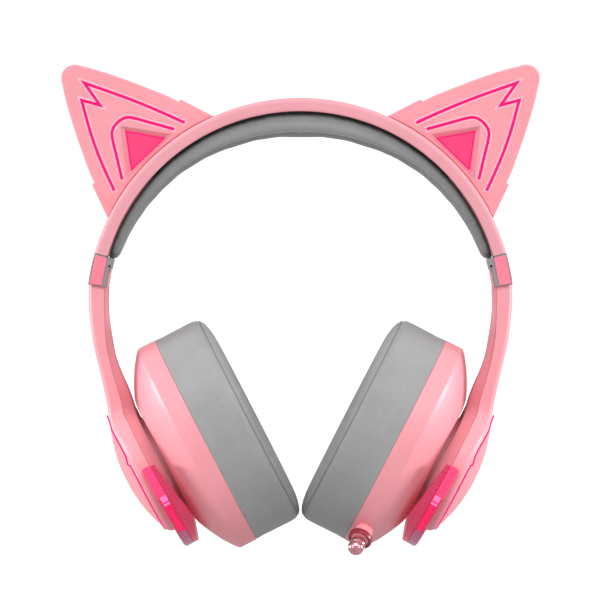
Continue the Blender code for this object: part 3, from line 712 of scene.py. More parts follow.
# The head pad's leather paints shade: it turns a deep grey towards the band, where the band's overhang
# would shadow it.
PAD_LEATHER_PAINTED_SHADE = leather(
    "pad_leather_painted_shade", (0.32, 0.32, 0.325), (0.285, 0.285, 0.29),
    centre=(0, 0, BAND_CENTRE_Z * MM), radii=(0.0845, 0.0896), overhang_painted_shade=(0.10, 0.105, 0.105),
)
SEAM = moulded("seam_leather", "leatherette", (0.24, 0.24, 0.245), 0.6, texture=0.4)
CLOTH = woven("scrim_weave", "scrim_cloth", (0.13, 0.13, 0.14))
STEEL = brushed("brushed_steel", "steel", (0.62, 0.62, 0.64), 0.3)
SCREW = brushed("screw_steel", "steel", (0.45, 0.44, 0.45), 0.35, (500, 500, 500))
NEON = glowing("neon_line", "light_line", (0.3, 0.0, 0.03), (1.0, 0.005, 0.17), 1.0)
GUIDE = glowing("pale_guide", "light_line", (0.95, 0.58, 0.67), (1.0, 0.4, 0.55), 0.08, 0.5)
LENS = glowing("window_lens_look", "light_lens", (0.6, 0.02, 0.09), (1.0, 0.06, 0.17), 0.8, 0.4)
LENS_EDGE = glowing("window_edge_look", "light_lens", (0.3, 0.0, 0.04), (1.0, 0.014, 0.2), 0.95)
BAR_BODY = seeing_through("bar_body", "light_lens", (0.72, 0.05, 0.18), (1.0, 0.05, 0.2), 0.3)
BAR_GROOVE = seeing_through("bar_groove", "light_lens", (0.55, 0.03, 0.12), (0.9, 0.02, 0.1), 0.25)
BAR_FLANGE = seeing_through("bar_flange", "light_lens", (0.50, 0.022, 0.09), (1.0, 0.04, 0.14), 0.22)
BAR_END = seeing_through("bar_end", "light_lens", (0.50, 0.11, 0.24), (0.6, 0.1, 0.3), 0.15)
BAR_CORE = glowing("bar_core", "light_line", (0.7, 0.0, 0.05), (1.0, 0.015, 0.1), 1.5)
BAR_PATCH = glowing("bar_patch", "light_line", (0.9, 0.2, 0.4), (1.0, 0.12, 0.36), 0.7)
TIP = brushed("tip_metal_look", "tip_metal", (0.93, 0.42, 0.48), 0.14, (300, 300, 300))
BOARD = circuit("circuit_board", "board_green")
FOIL = brushed("battery_wrap", "battery_foil", (0.40, 0.41, 0.46), 0.35, (200, 200, 200))
CONE = moulded("speaker_cone", "dark_plastic", (0.06, 0.06, 0.065), 0.6, texture=0.4)


# ---------------- soft pieces
def inflated(mesh, voxel, held, cap):
    """A pad swollen by Blender's cloth simulation. The mesh is in metres; held(point) says which points
    stay still, and cap is the furthest that a point may move. One subdivision smooths the result."""
    helper = bpy.data.objects.new("pad", modified(mesh, "REMESH", mode="VOXEL", voxel_size=voxel))
    bpy.context.scene.collection.objects.link(helper)
    start = [v.co.copy() for v in helper.data.vertices]
    pinned = helper.vertex_groups.new(name="held")
    pinned.add([v.index for v in helper.data.vertices if held(v.co)], 1.0, "REPLACE")
    cloth = helper.modifiers.new("cloth", "CLOTH")
    cloth.settings.use_pressure = True
    cloth.settings.uniform_pressure_force = PAD_PRESSURE
    cloth.settings.vertex_group_mass = "held"
    cloth.settings.effector_weights.gravity = 0
    cloth.settings.quality = 6
    cloth.settings.tension_stiffness = 40
    cloth.settings.compression_stiffness = 40
    cloth.settings.bending_stiffness = 2
    cloth.point_cache.frame_start = 1
    cloth.point_cache.frame_end = PAD_FRAMES
    for step in range(1, PAD_FRAMES + 1):
        bpy.context.scene.frame_set(step)
    graph = bpy.context.evaluated_depsgraph_get()
    swollen = helper.evaluated_get(graph).data
    moves = [swollen.vertices[i].co - co for i, co in enumerate(start)]
    helper.modifiers.clear()
    bpy.context.scene.frame_set(1)
    for vertex, move in zip(helper.data.vertices, moves):
        if move.length > cap:
            move = move * (cap / move.length)
        vertex.co = vertex.co + move
    result = helper.data
    bpy.data.objects.remove(helper)
    result = modified(result, "SMOOTH", factor=0.4, iterations=2)
    return modified(result, "SUBSURF", levels=1, render_levels=1)


def on_surface(mesh, path, lift=0.0):
    """The path's points moved to the nearest place on the mesh, then lifted along its normal."""
    corners = [vertex.co for vertex in mesh.vertices]
    tree = BVHTree.FromPolygons(corners, [polygon.vertices for polygon in mesh.polygons])
    found = []
    for point in path:
        place, normal, _, _ = tree.find_nearest(Vector(point))
        found.append(place + normal * lift)
    return found


def pressed(mesh, path, width, depth):
    """Presses a soft groove into the mesh along a path."""
    after = [(i + 1) % len(path) for i in range(len(path))]
    from_path = BVHTree.FromPolygons([Vector(p) for p in path], [(i, k, k) for i, k in enumerate(after)])
    for vertex in mesh.vertices:
        _, _, _, distance = from_path.find_nearest(vertex.co)
        if distance is not None and distance < 3 * width:
            vertex.co -= vertex.normal * depth * math.exp(-((distance / width) ** 2))
    return mesh


def millimetres(mesh):
    mesh.transform(Matrix.Scale(1 / MM, 4))
    return mesh


def metres(mesh):
    mesh.transform(Matrix.Scale(MM, 4))
    return mesh


def build_ear_cushions():
    """The leatherette ring: side wall, rolled seam and a crowned face towards the head."""
    deep = -CUSHION_DEPTH
    face = [(50.2, deep + 4.6), (49.3, deep + 2.6), (46.4, deep + 1.1), (42.0, deep + 0.2)]
    face += [(37.5, deep - 0.3), (33.0, deep + 0.2), (30.2, deep + 2.0), (29.4, deep + 4.8)]
    ring = metres(turned([(50.0, -0.1), *face, (29.9, -0.1)], 96, CUP_OVAL))
    ring = millimetres(inflated(ring, 0.0022, lambda co: co.z > -0.004, 0.0005))
    for vertex in ring.vertices:
        x, y, z = vertex.co
        reach = math.hypot(x, y / CUP_OVAL)
        if reach > 46.2:
            level = 1 + (50.1 / reach - 1) * smooth_step(-5.0, -1.5, z)
            vertex.co.x, vertex.co.y = x * level, y * level
        vertex.co.z = z + (-0.06 - z) * smooth_step(-1.6, -0.9, z)
    turns = [2 * math.pi * i / 144 for i in range(144)]
    seams = []
    for radius, height in ((49.2, deep + 2.6), (30.4, deep + 2.2)):
        path = [(radius * math.cos(a), radius * CUP_OVAL * math.sin(a), height) for a in turns]
        seams.append(on_surface(ring, path))
    for seam in seams:
        pressed(ring, seam, 0.9, 0.35)
    names = "_cup", "_ear_cushion"
    for cushion in show("_ear_pad", ring, CUP, CUSHION_LEATHER, *names, flat=False, sharp=80):
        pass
    welts = [tube(on_surface(ring, seam, 0.1), 0.32, 8, closed=True) for seam in seams]
    show("_ear_pad_seams", joined(welts), CUP, SEAM, "_cup", flat=False)


def pad_section(degrees):
    """The head pad's section at an angle, as (y, radius) points: narrow at the top, full below."""
    thick = between(PAD_THICKNESS, abs(degrees)) - 0.5
    close = max(0.0, (PAD_END - abs(degrees)) / 1.6)
    ending = math.sqrt(min(1.0, 1 - (1 - min(1.0, close)) ** 2)) if close < 1 else 1.0
    half = (PAD_HALF_WIDTH - 0.6) * (0.86 + 0.14 * ending)
    low = PAD_TOP - max(1.4, thick * (0.52 + 0.48 * ending))
    near = [(half, low + 1.6), (half, PAD_TOP - 1.0), (half - 1.0, PAD_TOP)]
    far = [(-y, radius) for y, radius in reversed(near)]
    return [*far, (-half + 3.2, low), (half - 3.2, low), *near]


def build_head_pad():
    """The cushion under the band, with rolled seams along both edges."""
    rows = []
    steps = 120
    for i in range(steps + 1):
        degrees = -PAD_END + 2 * PAD_END * i / steps
        rows.append([(*polar(radius, degrees), y) for y, radius in pad_section(degrees)])
    body = metres(lofted(rows))

    def near_band(co):
        return math.hypot(co.x, co.y) > (PAD_TOP - 0.5) * MM

    pad = millimetres(inflated(body, 0.0022, near_band, 0.0012))
    seams = []
    for side in (-1, 1):
        path = []
        for i in range(161):
            degrees = (PAD_END - 2.0) * (2 * i / 160 - 1)
            half = max(abs(y) for y, _ in pad_section(degrees))
            low = min(radius for _, radius in pad_section(degrees))
            path.append((*polar(low + 1.1, degrees), side * (half - 0.9)))
        seams.append(on_surface(pad, path))
    names = "headband", "headband_pad"
    [head_pad] = show("head_pad", pad, BAND, PAD_LEATHER_PAINTED_SHADE, *names, MIDDLE, flat=False, sharp=80)
    welts = [tube(on_surface(pad, seam, 0.05), 0.3, 8) for seam in seams]
    show("head_pad_seams", joined(welts), BAND, SEAM, "headband", sides=MIDDLE, flat=False)


# ---------------- headband
def build_band():
    """The pink arch: a channel with a softly crowned top."""
    side = BAND_HALF_WIDTH
    crown = 0.5
    top, bottom, roof = BAND_OUTER, BAND_INNER, BAND_ROOF
    outer = [(y, top - crown * (y / side) ** 2) for y in (0, 4, 8, 11, 13.2)]
    corner = [(14.0, top - 0.72), (14.6, top - 1.15), (14.9, top - 1.7), (side, top - 2.5)]
    lip = [(side, bottom + 0.7), (14.8, bottom + 0.2), (14.4, bottom), (13.4, bottom), (12.9, bottom + 0.3)]
    inside = [(12.7, bottom + 0.8), (12.7, roof - 1.2), (12.3, roof - 0.4), (11.5, roof), (0, roof)]
    half = outer + corner + lip + inside
    section = half + [(-y, radius) for y, radius in reversed(half) if y > 0]
    rows = []
    steps = 180
    for i in range(steps + 1):
        degrees = -BAND_END + 2 * BAND_END * i / steps
        rows.append([(*polar(radius, degrees), y) for y, radius in section])
    show("band_shell", lofted(rows), BAND, BAND_PLASTIC, "headband", "headband_shell", MIDDLE, sharp=45)

    run = sector(BAND_INNER + 0.5, BAND_ROOF - 0.3, BAND_END - 3.2, BAND_END - 0.15, 6)
    guide = bevelled(plate(run, -12.3, 12.3), 0.35, 2)
    slot = box_mesh((-8, -STRIP_HALF_WIDTH - 0.35, -1.0), (4, STRIP_HALF_WIDTH + 0.35, 1.0))
    guide = cut(guide, transformed(slot, BAND.inverted() @ SLIDE))
    show("_slider_guide", guide, BAND, GREY, "headband")


# ---------------- ears
def ear_outline(foot):
    """The ear's outline: a round tip, slightly convex edges, and the foot's points last on each side."""
    centre = EAR_TIP - EAR_TIP_RADIUS
    turns = [math.radians(90 - (90 - EAR_TIP_TURN) * i / 8) for i in range(9)]
    tip = [(EAR_TIP_RADIUS * math.cos(a), centre + EAR_TIP_RADIUS * math.sin(a)) for a in turns]
    side = eased([tip[-1], *EAR_EDGE, foot[0]], 5)
    return mirrored_outline([(0.0, EAR_TIP), *tip[1:], *side[1:], *foot[1:]])


def foot_points(half_width, steps=8):
    """The foot's curve along the band, from the edge to the middle."""
    places = [half_width * (1 - i / steps) for i in range(steps + 1)]
    return [(x, math.sqrt(EAR_SEAT**2 - x**2)) for x in places]


def outer_line():
    first, last = (eased(side, 3) for side in OUTER_LINE_SIDES)
    return first + [OUTER_LINE_NOTCH] + last


def inner_line():
    whole = INNER_LINE_HALF + tuple((-x, y) for x, y in reversed(INNER_LINE_HALF[:-1]))
    return eased(whole, 3)


def window_ring():
    """The bevelled rose frame round the ear's window."""
    front = EAR_HALF_THICK
    outer = scaled(WINDOW_FRAME, 0.985, 104)
    lip = scaled(WINDOW_FRAME, 0.95, 104)
    rows = [
        [(x, y, front - 2.9) for x, y in rounded(outer, 0.8)],
        [(x, y, front - 0.05) for x, y in rounded(outer, 0.8)],
        [(x, y, front - 0.05) for x, y in rounded(lip, 0.7)],
        [(x, y, front - 1.75) for x, y in rounded(WINDOW, 0.25)],
        [(x, y, front - 2.9) for x, y in rounded(WINDOW, 0.25)],
    ]
    return lofted(rows, closed=True)


def build_ears():
    """Each ear: front shell with lit lines and window, back shell, and the shoe on the band."""
    front = EAR_HALF_THICK
    outline = ear_outline(foot_points(EAR_FOOT))
    lines = {"outer": outer_line(), "inner": inner_line()}
    shell = bevelled(plate(outline, 0.3, front), 0.8, 4)
    shell = cut(shell, plate(rounded(WINDOW_FRAME, 0.8), front - 3.0, front + 1))
    guides = []
    for name, line in lines.items():
        groove = strip_outline(lengthened(line, 0.65), GUIDE_WIDTH + 0.1)
        shell = cut(shell, plate(groove, front - 1.0, front + 1))
        guide = plate(strip_outline(lengthened(line, 0.6), GUIDE_WIDTH), front - 0.95, front - 0.1)
        guides.append(bevelled(guide, 0.12, 2))
        neon = bevelled(plate(strip_outline(line, LINE_WIDTH), front - 0.5, front + 0.12), 0.15, 2)
        node = "_ear_" + name + "_light_line"
        show("_ear_" + name + "_neon", neon, EAR, NEON, "headband", node)
    show("_ear_front", shell, EAR, SHELL, "headband", "_ear_front_shell")
    show("_ear_light_guides", joined(guides), EAR, GUIDE, "headband")

    show("_ear_window_frame", window_ring(), EAR, FRAME_ROSE, "headband")
    pane = scaled(WINDOW, 0.97, 103.4)
    inner = scaled(WINDOW, 0.87, 103.4)
    lens = bevelled(plate(pane, front - 2.6, front - 1.85), 0.1, 2)
    show("_ear_lens", lens, EAR, LENS, "headband", "_ear_window_lens")
    edge = [(pane, front - 1.9), (pane, front - 1.66), (inner, front - 1.72), (inner, front - 1.9)]
    rows = [[(x, y, height) for x, y in ring] for ring, height in edge]
    show("_ear_lens_edge", lofted(rows, closed=True), EAR, LENS_EDGE, "headband")

    back = bevelled(plate([p for p in outline if p[1] > SHOE_HEIGHT + 0.3], -front, 0.2), 1.1, 4)
    panel = rounded([(0, 143.5), (-15.5, 111.5), (15.5, 111.5)], 2.5, 6)
    back = cut(back, bevelled(plate(panel, -front - 1, -front + 0.5), 0.3, 2))
    show("_ear_back", back, EAR, SHELL, "headband", "_ear_back_shell")

    foot = foot_points(SHOE_FOOT)
    shoe = bevelled(plate(mirrored_outline([(SHOE_TOP, SHOE_HEIGHT), *foot]), -front, -0.05), 0.7, 3)
    wing = [(SHOE_TOP - 2.6, SHOE_HEIGHT), (SHOE_TOP, SHOE_HEIGHT), *foot[:3]]
    wing = bevelled(plate(wing, -3.0, front - 0.5), 0.5, 3, 50)
    shoe = united(united(shoe, wing), mirrored_across(wing))
    for place in SHOE_SCREWS:
        shoe = cut(shoe, shifted(rod(2.2, -front - 1, -front + 1.2), place, SHOE_SCREW_HEIGHT))
    show("_ear_foot", shoe, EAR, SHELL, "headband", "_ear_shoe")
    head = screw_head(1.9)
    screws = [shifted(head, place, SHOE_SCREW_HEIGHT, -front + 0.7) for place in SHOE_SCREWS]
    show("_ear_screws", joined(screws), EAR, SCREW, "headband")


def scaled(outline, factor, middle):
    """The outline shrunk towards (0, middle)."""
    return [(x * factor, middle + (y - middle) * factor) for x, y in outline]


def mirrored_across(mesh):
    copy = mesh.copy()
    copy.transform(MIRROR)
    copy.flip_normals()
    return copy


def screw_head(radius):
    """A domed screw head facing -z, with a crossed recess."""
    head = [(0, -0.7), (radius * 0.5, -0.62), (radius * 0.85, -0.38)]
    profile = [*head, (radius, -0.1), (radius, 0.4), (0, 0.4)]
    head = turned(profile, 28)
    for turn in (0, 90):
        slot = box_mesh((-radius * 0.62, -0.22, -1.2), (radius * 0.62, 0.22, -0.28))
        slot.transform(Matrix.Rotation(math.radians(turn), 4, "Z"))
        head = cut(head, slot)
    return head


# ---------------- slider and hinge block
def build_slider():
    """The notched strip inside the band, and the hinge block with its inserts, pin and tongue."""
    half = STRIP_HALF_WIDTH
    strip = bevelled(box_mesh((-STRIP_INSIDE, -half, -0.6), (10, half, 0.6)), 0.25, 2)
    strip = cut(strip, box_mesh((-19.5, -1.6, -2), (-2.5, 1.6, 2)))
    for i in range(9):
        for side in (-1, 1):
            notch = shifted(rod(0.55, -2, 2, sides=16), -21 + i * 2.4, side * (half + 0.1))
            strip = cut(strip, notch)
    show("_slide_strip", strip, SLIDE, STEEL, "_arm", "_slider_strip")

    width = BLOCK_HALF_WIDTH
    block = plate(sector(BLOCK_INNER, BLOCK_OUTER, BLOCK_START, BLOCK_END, 8), -width, width)
    lip = sector(BLOCK_LIP, BLOCK_INNER + 1, BLOCK_START, PIN_ANGLE + 0.9, 3)
    block = united(block, plate(lip, -width, width))
    block = bevelled(block, 0.3, 3)
    pocket = box_mesh((-2, -half - 0.3, -0.9), (10.4, half + 0.3, 0.9))
    block = cut(block, transformed(pocket, BAND.inverted() @ SLIDE))
    recess = sector(INSERT_INNER - 0.1, INSERT_OUTER + 0.1, BLOCK_START + 0.16, BLOCK_END - 0.16, 1)
    recess = rounded(recess, 0.3, 2)
    for low, high in ((width - 1.0, width + 1), (-width - 1, -width + 1.0)):
        block = cut(block, plate(recess, low, high))
    gasket = sector(BAND_INNER + 0.3, BAND_OUTER - 0.35, BAND_END + 0.06, BLOCK_START + 0.2, 2)
    block = united(block, plate(gasket, -width, width))
    show("_block", block, BAND, GREY, "_arm", "_hinge_block")

    insert = sector(INSERT_INNER, INSERT_OUTER, BLOCK_START + 0.22, BLOCK_END - 0.22, 1)
    insert = rounded(insert, 0.35, 3)
    for name, low, high in (("front", width - 0.7, width + 0.3), ("rear", -width - 0.3, -width + 0.7)):
        mesh = bevelled(plate(insert, low, high), 0.18, 2)
        show("_" + name + "_badge", mesh, BAND, INSERT, "_arm", "_" + name + "_insert")

    end = width + 0.1
    pin = turned([(0, -end), (0.6, -end), (0.85, 0.3 - end), (0.85, end - 0.3), (0.6, end), (0, end)], 24)
    pin = shifted(pin, *polar(PIN_ARC_RADIUS, PIN_ANGLE))
    # The pin's ends carry painted shade: their dark rose stands in for the shadow gap by the knuckle.
    show("_fold_pin", pin, BAND, PIN_PAINTED_SHADOW, "_arm", "_hinge_pin")
    tongue = plate(sector(BLOCK_LIP + 0.05, BLOCK_INNER - 0.05, PIN_ANGLE + 1.0, BLOCK_END, 6), -13.2, 13.2)
    show("_fold_tongue", bevelled(tongue, 0.25, 2), BAND, SHELL, "_arm")


# ---------------- arm and disc
def dome_height(radius):
    return DISC_APEX - DISC_DROP * (radius / DISC_RADIUS) ** 2.2


def neck_start():
    """Where the fillet between the arm and the disc leaves the arm."""
    return -math.sqrt((DISC_RADIUS + NECK_FILLET) ** 2 - (ARM_HALF_WIDTH + NECK_FILLET) ** 2)


NECK_START = neck_start()
NECK_END = NECK_START * DISC_RADIUS / (DISC_RADIUS + NECK_FILLET)


def arm_half_width(down):
    if down < NECK_START:
        return ARM_HALF_WIDTH
    if down < NECK_END:
        return ARM_HALF_WIDTH + NECK_FILLET - math.sqrt(NECK_FILLET**2 - (down - NECK_START) ** 2)
    return math.sqrt(DISC_RADIUS**2 - down * down)


def edge_distance(down, side):
    """How far a point is inside the arm's outline."""
    if down < NECK_START:
        return ARM_HALF_WIDTH - abs(side)
    if down < NECK_END:
        return math.hypot(down - NECK_START, abs(side) - ARM_HALF_WIDTH - NECK_FILLET) - NECK_FILLET
    return DISC_RADIUS - math.hypot(down, side)


def round_drop(distance, radius):
    """How far a rounded edge falls away, at a distance inside the outline."""
    if distance >= radius:
        return 0.0
    return radius - math.sqrt(max(0.0, radius**2 - (radius - max(0.0, distance)) ** 2))


def shell_height(down, side, neck):
    """The outer face of the arm and its disc. neck is the arm's own height at this place."""
    arm = neck - SHELL_CROWN * (side / ARM_HALF_WIDTH) ** 2
    dome = dome_height(min(DISC_RADIUS, math.hypot(down, side)))
    share = smooth_step(-32, -12, down)
    return arm * (1 - share) + dome * share - round_drop(edge_distance(down, side), SHELL_ROUND)


def across(half_width, edge=SHELL_ROUND):
    """Places across a row, closer together at the rounded edges."""
    near = [half_width - edge * f for f in (0, 0.06, 0.18, 0.36, 0.62, 1.0)]
    middle = [(half_width - edge) * f for f in (0.8, 0.6, 0.4, 0.2)]
    places = near + middle
    return places + [0.0] + [-y for y in reversed(places)]


def arm_solid(stations, face, base, face_width, base_width):
    """A solid over the arm and disc. A station is ((down, out) of the face, (down, out) of the base);
    face and base give a point's height, and the widths give the two outlines."""
    rows = []
    for (face_down, face_out), (base_down, base_out) in stations:
        top = [(face_down, y, face(face_down, y, face_out)) for y in across(face_width(face_down))]
        low = [(base_down, y, base(base_down, y, base_out)) for y in across(base_width(base_down))]
        rows.append(top + low[::-1])
    count = len(across(1)) // 2 + 1
    radii = across(face_width(0))[:count], across(base_width(0))[:count]
    rays = []
    for i in range(37):
        a = math.pi * i / 36
        top, low = ([(r * math.sin(a), r * math.cos(a)) for r in outline] for outline in radii)
        top = [(x, y, face(x, y, DISC_APEX)) for x, y in top]
        low = [(x, y, base(x, y, stations[-1][1][1])) for x, y in low]
        rays.append(top + low[::-1])
    width = len(rows[0])
    points = [p for row in rows + rays for p in row]
    faces = [tuple(range(width))]
    for i in range(len(rows) - 1):
        faces += quads(i * width, (i + 1) * width, width)
    start, size = len(rows) * width, len(rays[0])
    for i in range(len(rays) - 1):
        faces += quads(start + i * size, start + (i + 1) * size, size)
    return mesh_of(points, faces)


def quads(first, second, count):
    """Faces between two rings of vertices, given each ring's first index."""
    after = [(j + 1) % count for j in range(count)]
    return [(first + j, second + j, second + after[j], first + after[j]) for j in range(count)]


def arm_stations(face_line, base_line, base_height):
    """Stations down the arm, then across the upper half of the disc."""
    pairs = [(in_cup(a), in_cup(b)) for a, b in zip(eased(face_line), eased(base_line))]
    first = max(pairs[-1][0][0], pairs[-1][1][0]) + 1.4
    steps = 14
    for i in range(steps + 1):
        down = first * (1 - i / steps)
        pairs.append(((down, between(NECK_HEIGHTS, down)), (down, base_height)))
    return pairs


def disc_line_path():
    """The lit line near the disc's edge, from the front of the neck round the bottom to the back."""
    places = [(-30.0, 10.9), (-27.0, 11.7)]
    places += [ring_point(DISC_LINE, angle) for angle in (148, 138, 128, 120, 112)]
    places += [ring_point(DISC_LINE - DISC_NOTCH, 104), ring_point(DISC_LINE, 101)]
    places += [ring_point(DISC_LINE, angle) for angle in range(96, 0, -6)]
    whole = places + [ring_point(DISC_LINE, 0)] + [(down, -side) for down, side in reversed(places)]
    return [(down, side, shell_height(down, side, between(NECK_HEIGHTS, down))) for down, side in whole]


def ring_point(radius, degrees):
    angle = math.radians(degrees)
    return (radius * math.cos(angle), radius * math.sin(angle))


def build_arm():
    """The arm's outer shell with its disc and lit line, and the inner cover with its collar and lugs."""
    shell_split = [(x - PARTING / 2, z) for x, z in ARM_SPLIT]
    cover_split = [(x + PARTING / 2, z) for x, z in ARM_SPLIT]
    stations = arm_stations(ARM_OUTER_EDGE, shell_split, DISC_SPLIT)
    shell = arm_solid(stations, shell_height, lambda down, side, out: out, arm_half_width, arm_half_width)
    path = disc_line_path()
    shell = cut(shell, tube(path, 1.0, 12))
    show("_arm_shell", shell, CUP, SHELL, "_arm", "_arm_outer_shell", sharp=40)
    guide = tube([(x, y, z - 0.85) for x, y, z in path], DISC_GUIDE, 12)
    show("_disc_light_guide", guide, CUP, GUIDE, "_arm")
    neon = tube([(x, y, z - 0.05) for x, y, z in path], DISC_NEON, 10)
    show("_disc_neon", neon, CUP, NEON, "_arm", "_disc_light_line")

    top = DISC_SPLIT - PARTING
    split_end = in_cup(cover_split[-1])[0]
    stations = [
        ((down, out if down <= split_end else top), base)
        for (down, out), base in arm_stations(cover_split, ARM_INNER_EDGE, DISC_INNER_FACE)
    ]

    def flat_face(down, side, out):
        return top if out == DISC_APEX else out

    def chamfer(down):
        return ARM_CHAMFER + (COVER_CHAMFER - ARM_CHAMFER) * smooth_step(-42, -27, down)

    def base(down, side, out):
        along = smooth_step(-50, -36, down) * smooth_step(6, 14, -down)
        crown = 0.45 * along * max(0.0, 1 - (side / 9) ** 2)
        return out - crown + round_drop(edge_distance(down, side) - chamfer(down), 0.6)

    def face_width(down):
        return arm_half_width(down) - 0.1

    def base_width(down):
        return arm_half_width(down) - chamfer(down)

    cover = arm_solid(stations, flat_face, base, face_width, base_width)
    low, high = DISC_COLLAR_END, DISC_INNER_FACE + 0.6
    edge = [(DISC_COLLAR - 0.5, low), (DISC_COLLAR, low + 0.5), (DISC_COLLAR, high)]
    cover = united(cover, turned([(DISC_COLLAR - 2, high), (DISC_COLLAR - 2, low), *edge], 72))
    for side in (-1, 1):
        low, high = PIVOT_HEIGHT - 1.9, DISC_INNER_FACE + 1
        middle = side * PIVOT_PIN_PLACE
        lug = box_mesh((-2.5, middle - 1.5, low), (2.5, middle + 1.5, high))
        cover = united(cover, bevelled(lug, 0.3, 2))
    cover = cut(cover, shifted(rod(PIVOT_PIN_HOLE, -12, 12, "Y"), z=PIVOT_HEIGHT))
    # The inner cover wears the darkened copy of the shell pink: painted shade.
    show("_arm_cover", cover, CUP, SHELL_PINK_PAINTED_SHADE, "_arm", "_arm_inner_cover", sharp=40)


def build_light_bar():
    """The translucent bar round the lower half of the disc: blocks at its ends and bottom, a grooved
    window with a lit core between them, and a wing towards the cup."""
    place = moved(CUP, z=BAR_HEIGHT) @ Matrix.Rotation(math.radians(BAR_LEAN), 4, "Y")

    def point(degrees, depth, height):
        angle = math.radians(degrees)
        x, y = BAR_BOTTOM * math.cos(angle), BAR_SIDE * math.sin(angle)
        reach = math.hypot(x, y)
        inner = max(BAR_INNER, reach - depth)
        return (x * inner / reach, y * inner / reach, height)

    def stretch(section, start, end, steps):
        """A run of the bar between two angles; a section point is (depth below the outer face, height)."""
        turns = [start + (end - start) * i / steps for i in range(steps + 1)]
        return lofted([[point(a, depth, height) for depth, height in section] for a in turns])

    def wing(degrees):
        """The part towards the cup, deepest at either side of the bottom."""
        tip = min(-3.3, between(BAR_WING, BAR_BOTTOM * math.cos(math.radians(degrees))) - BAR_HEIGHT)
        section = ((0, tip), (0, split), (99, split), (99, -3.1), (BAR_WING_DEPTH, tip))
        return [point(degrees, depth, height) for depth, height in section]

    split = -1.5
    full = [(0.4, split), (0, split + 0.5), (0, 2.2), (0.4, 2.9), (1.3, 3.2), (99, 3.2), (99, split)]
    groove = [
        (0.4, split), (0, split + 0.5), (0, -0.7), (1.5, -0.4), (1.5, 1.3), (0, 1.6), (0, 2.2),
        (0.4, 2.9), (1.3, 3.2), (99, 3.2), (99, split),
    ]
    blocks = [stretch(full, 68, 92.5, 10), stretch(full, -92.5, -68, 10)]
    blocks = joined([bevelled(block, 0.9, 4, 50) for block in blocks])
    windows = joined([stretch(groove, 36, 67.8, 14), stretch(groove, -67.8, -36, 14)])
    foot = bevelled(stretch(full, -35.8, 35.8, 28), 0.45, 3, 50)
    wings = bevelled(lofted([wing(-92 + i * 2.3) for i in range(81)]), 0.3, 2, 50)
    show("_bar_blocks", blocks, place, BAR_BODY, "_arm", "_light_bar")
    show("_bar_windows", windows, place, BAR_GROOVE, "_arm")
    show("_bar_foot", foot, place, BAR_END, "_arm")
    show("_bar_wings", wings, place, BAR_FLANGE, "_arm")
    cores, patches = [], []
    patch = [(-0.05, -1.1), (-0.05, 2.0), (1.2, 2.0), (1.2, -1.1)]
    for side in (-1, 1):
        cores.append(tube([point(side * (37 + i * 2.3), 0.75, 0.45) for i in range(13)], 0.75, 12))
        patches.append(bevelled(stretch(patch, side * 65.5, side * 70.0, 4), 0.2, 2))
        patches.append(bevelled(stretch(patch, side * 62.6, side * 64.4, 3), 0.2, 2))
    show("_bar_core", joined(cores), place, BAR_CORE, "_arm")
    show("_bar_patches", joined(patches), place, BAR_PATCH, "_arm")


# ---------------- cups
def housing_mesh():
    """The oval housing: rim wall, a crisp facet line, a curved dome and the recess for the disc."""
    dome = [(48.8, 10.1), (46.2, 12.0), (43.2, 14.1), (40.0, 15.9)]
    dome += [(37.0, 17.5), (34.0, 18.9), (30.5, 20.3), (27.0, 20.8)]
    rim = [(49.9, 0.0), (CUP_HALF_HEIGHT, 0.4), (CUP_HALF_HEIGHT, RIM_HEIGHT), (50.0, 8.9)]
    inside = [(0, 11.0), (38, 11.0), (44, 8.8), (48.1, 6.6), (48.2, 0.0)]
    housing = turned([*inside, *rim, *eased(dome, 3), (0, 20.8)], 128, CUP_OVAL)
    recess = [(0, RECESS_FLOOR), (RECESS_RADIUS, RECESS_FLOOR), (RECESS_RADIUS, 19.4)]
    mouth = [(RECESS_RADIUS + 0.9, 21.5), (RECESS_RADIUS + 0.9, 25), (0, 25)]
    housing = cut(housing, turned(recess + mouth, 96))
    for place in (-PIVOT_PIN_PLACE, PIVOT_PIN_PLACE):
        lug = bevelled(box_mesh((place - 1.5, -2.5, RECESS_FLOOR - 1), (place + 1.5, 2.5, 18.4)), 0.3, 2)
        housing = united(housing, lug)
    return cut(housing, shifted(rod(PIVOT_PIN_HOLE, -12, 12, "X"), z=PIVOT_HEIGHT))


def build_cups():
    """The plain right housing, the left one with its openings, and the scrim."""
    housing = housing_mesh()
    node = "_cup_housing"
    show("_housing", housing.copy(), CUP, SHELL, "_cup", node, ("right",), sharp=24)
    inside = CUP.inverted()
    left = united(housing, transformed(rod(4.15, -5, 5.8), inside @ MIC))
    left = united(left, transformed(bevelled(rod(4.1, 4, 8.2), 0.3, 2), inside @ MIC))
    left = cut(left, transformed(rod(1.9, -14, 12), inside @ MIC))
    for degrees in BUTTON_ANGLES.values():
        hole = box_mesh((-4.3, -6, -2.1), (4.3, 3, 2.1))
        left = cut(left, transformed(hole, inside @ rim_place(degrees, BUTTON_HEIGHT)))
    ports = inside @ rim_place(PORT_ANGLE, PORT_HEIGHT)
    face = PORT_PROUD
    boss = bevelled(box_mesh((-13.5, -2.4, -3.9), (13.5, face, 3.9)), 0.5, 3)
    left = united(left, transformed(boss, ports))
    left = cut(left, transformed(box_mesh((-12.5, face - 1.3, -3.1), (12.5, face + 1, 3.1)), ports))
    left = cut(left, transformed(box_mesh((USB_PLACE - 5.1, -12, -2.3), (USB_PLACE + 5.1, 3, 2.3)), ports))
    left = cut(left, transformed(shifted(rod(3.0, -14, 3, "Y"), x=JACK_PLACE), ports))
    show("_housing", left, CUP, SHELL, "_cup", node, LEFT, sharp=24)

    cloth = [(0, -1.9), (25.9, -1.9), (26.5, -2.2), (26.5, -2.7), (25.6, -3.0), (0, -2.6)]
    show("_scrim_cloth", turned(cloth, 72, CUP_OVAL), CUP, CLOTH, "_cup", "_scrim")


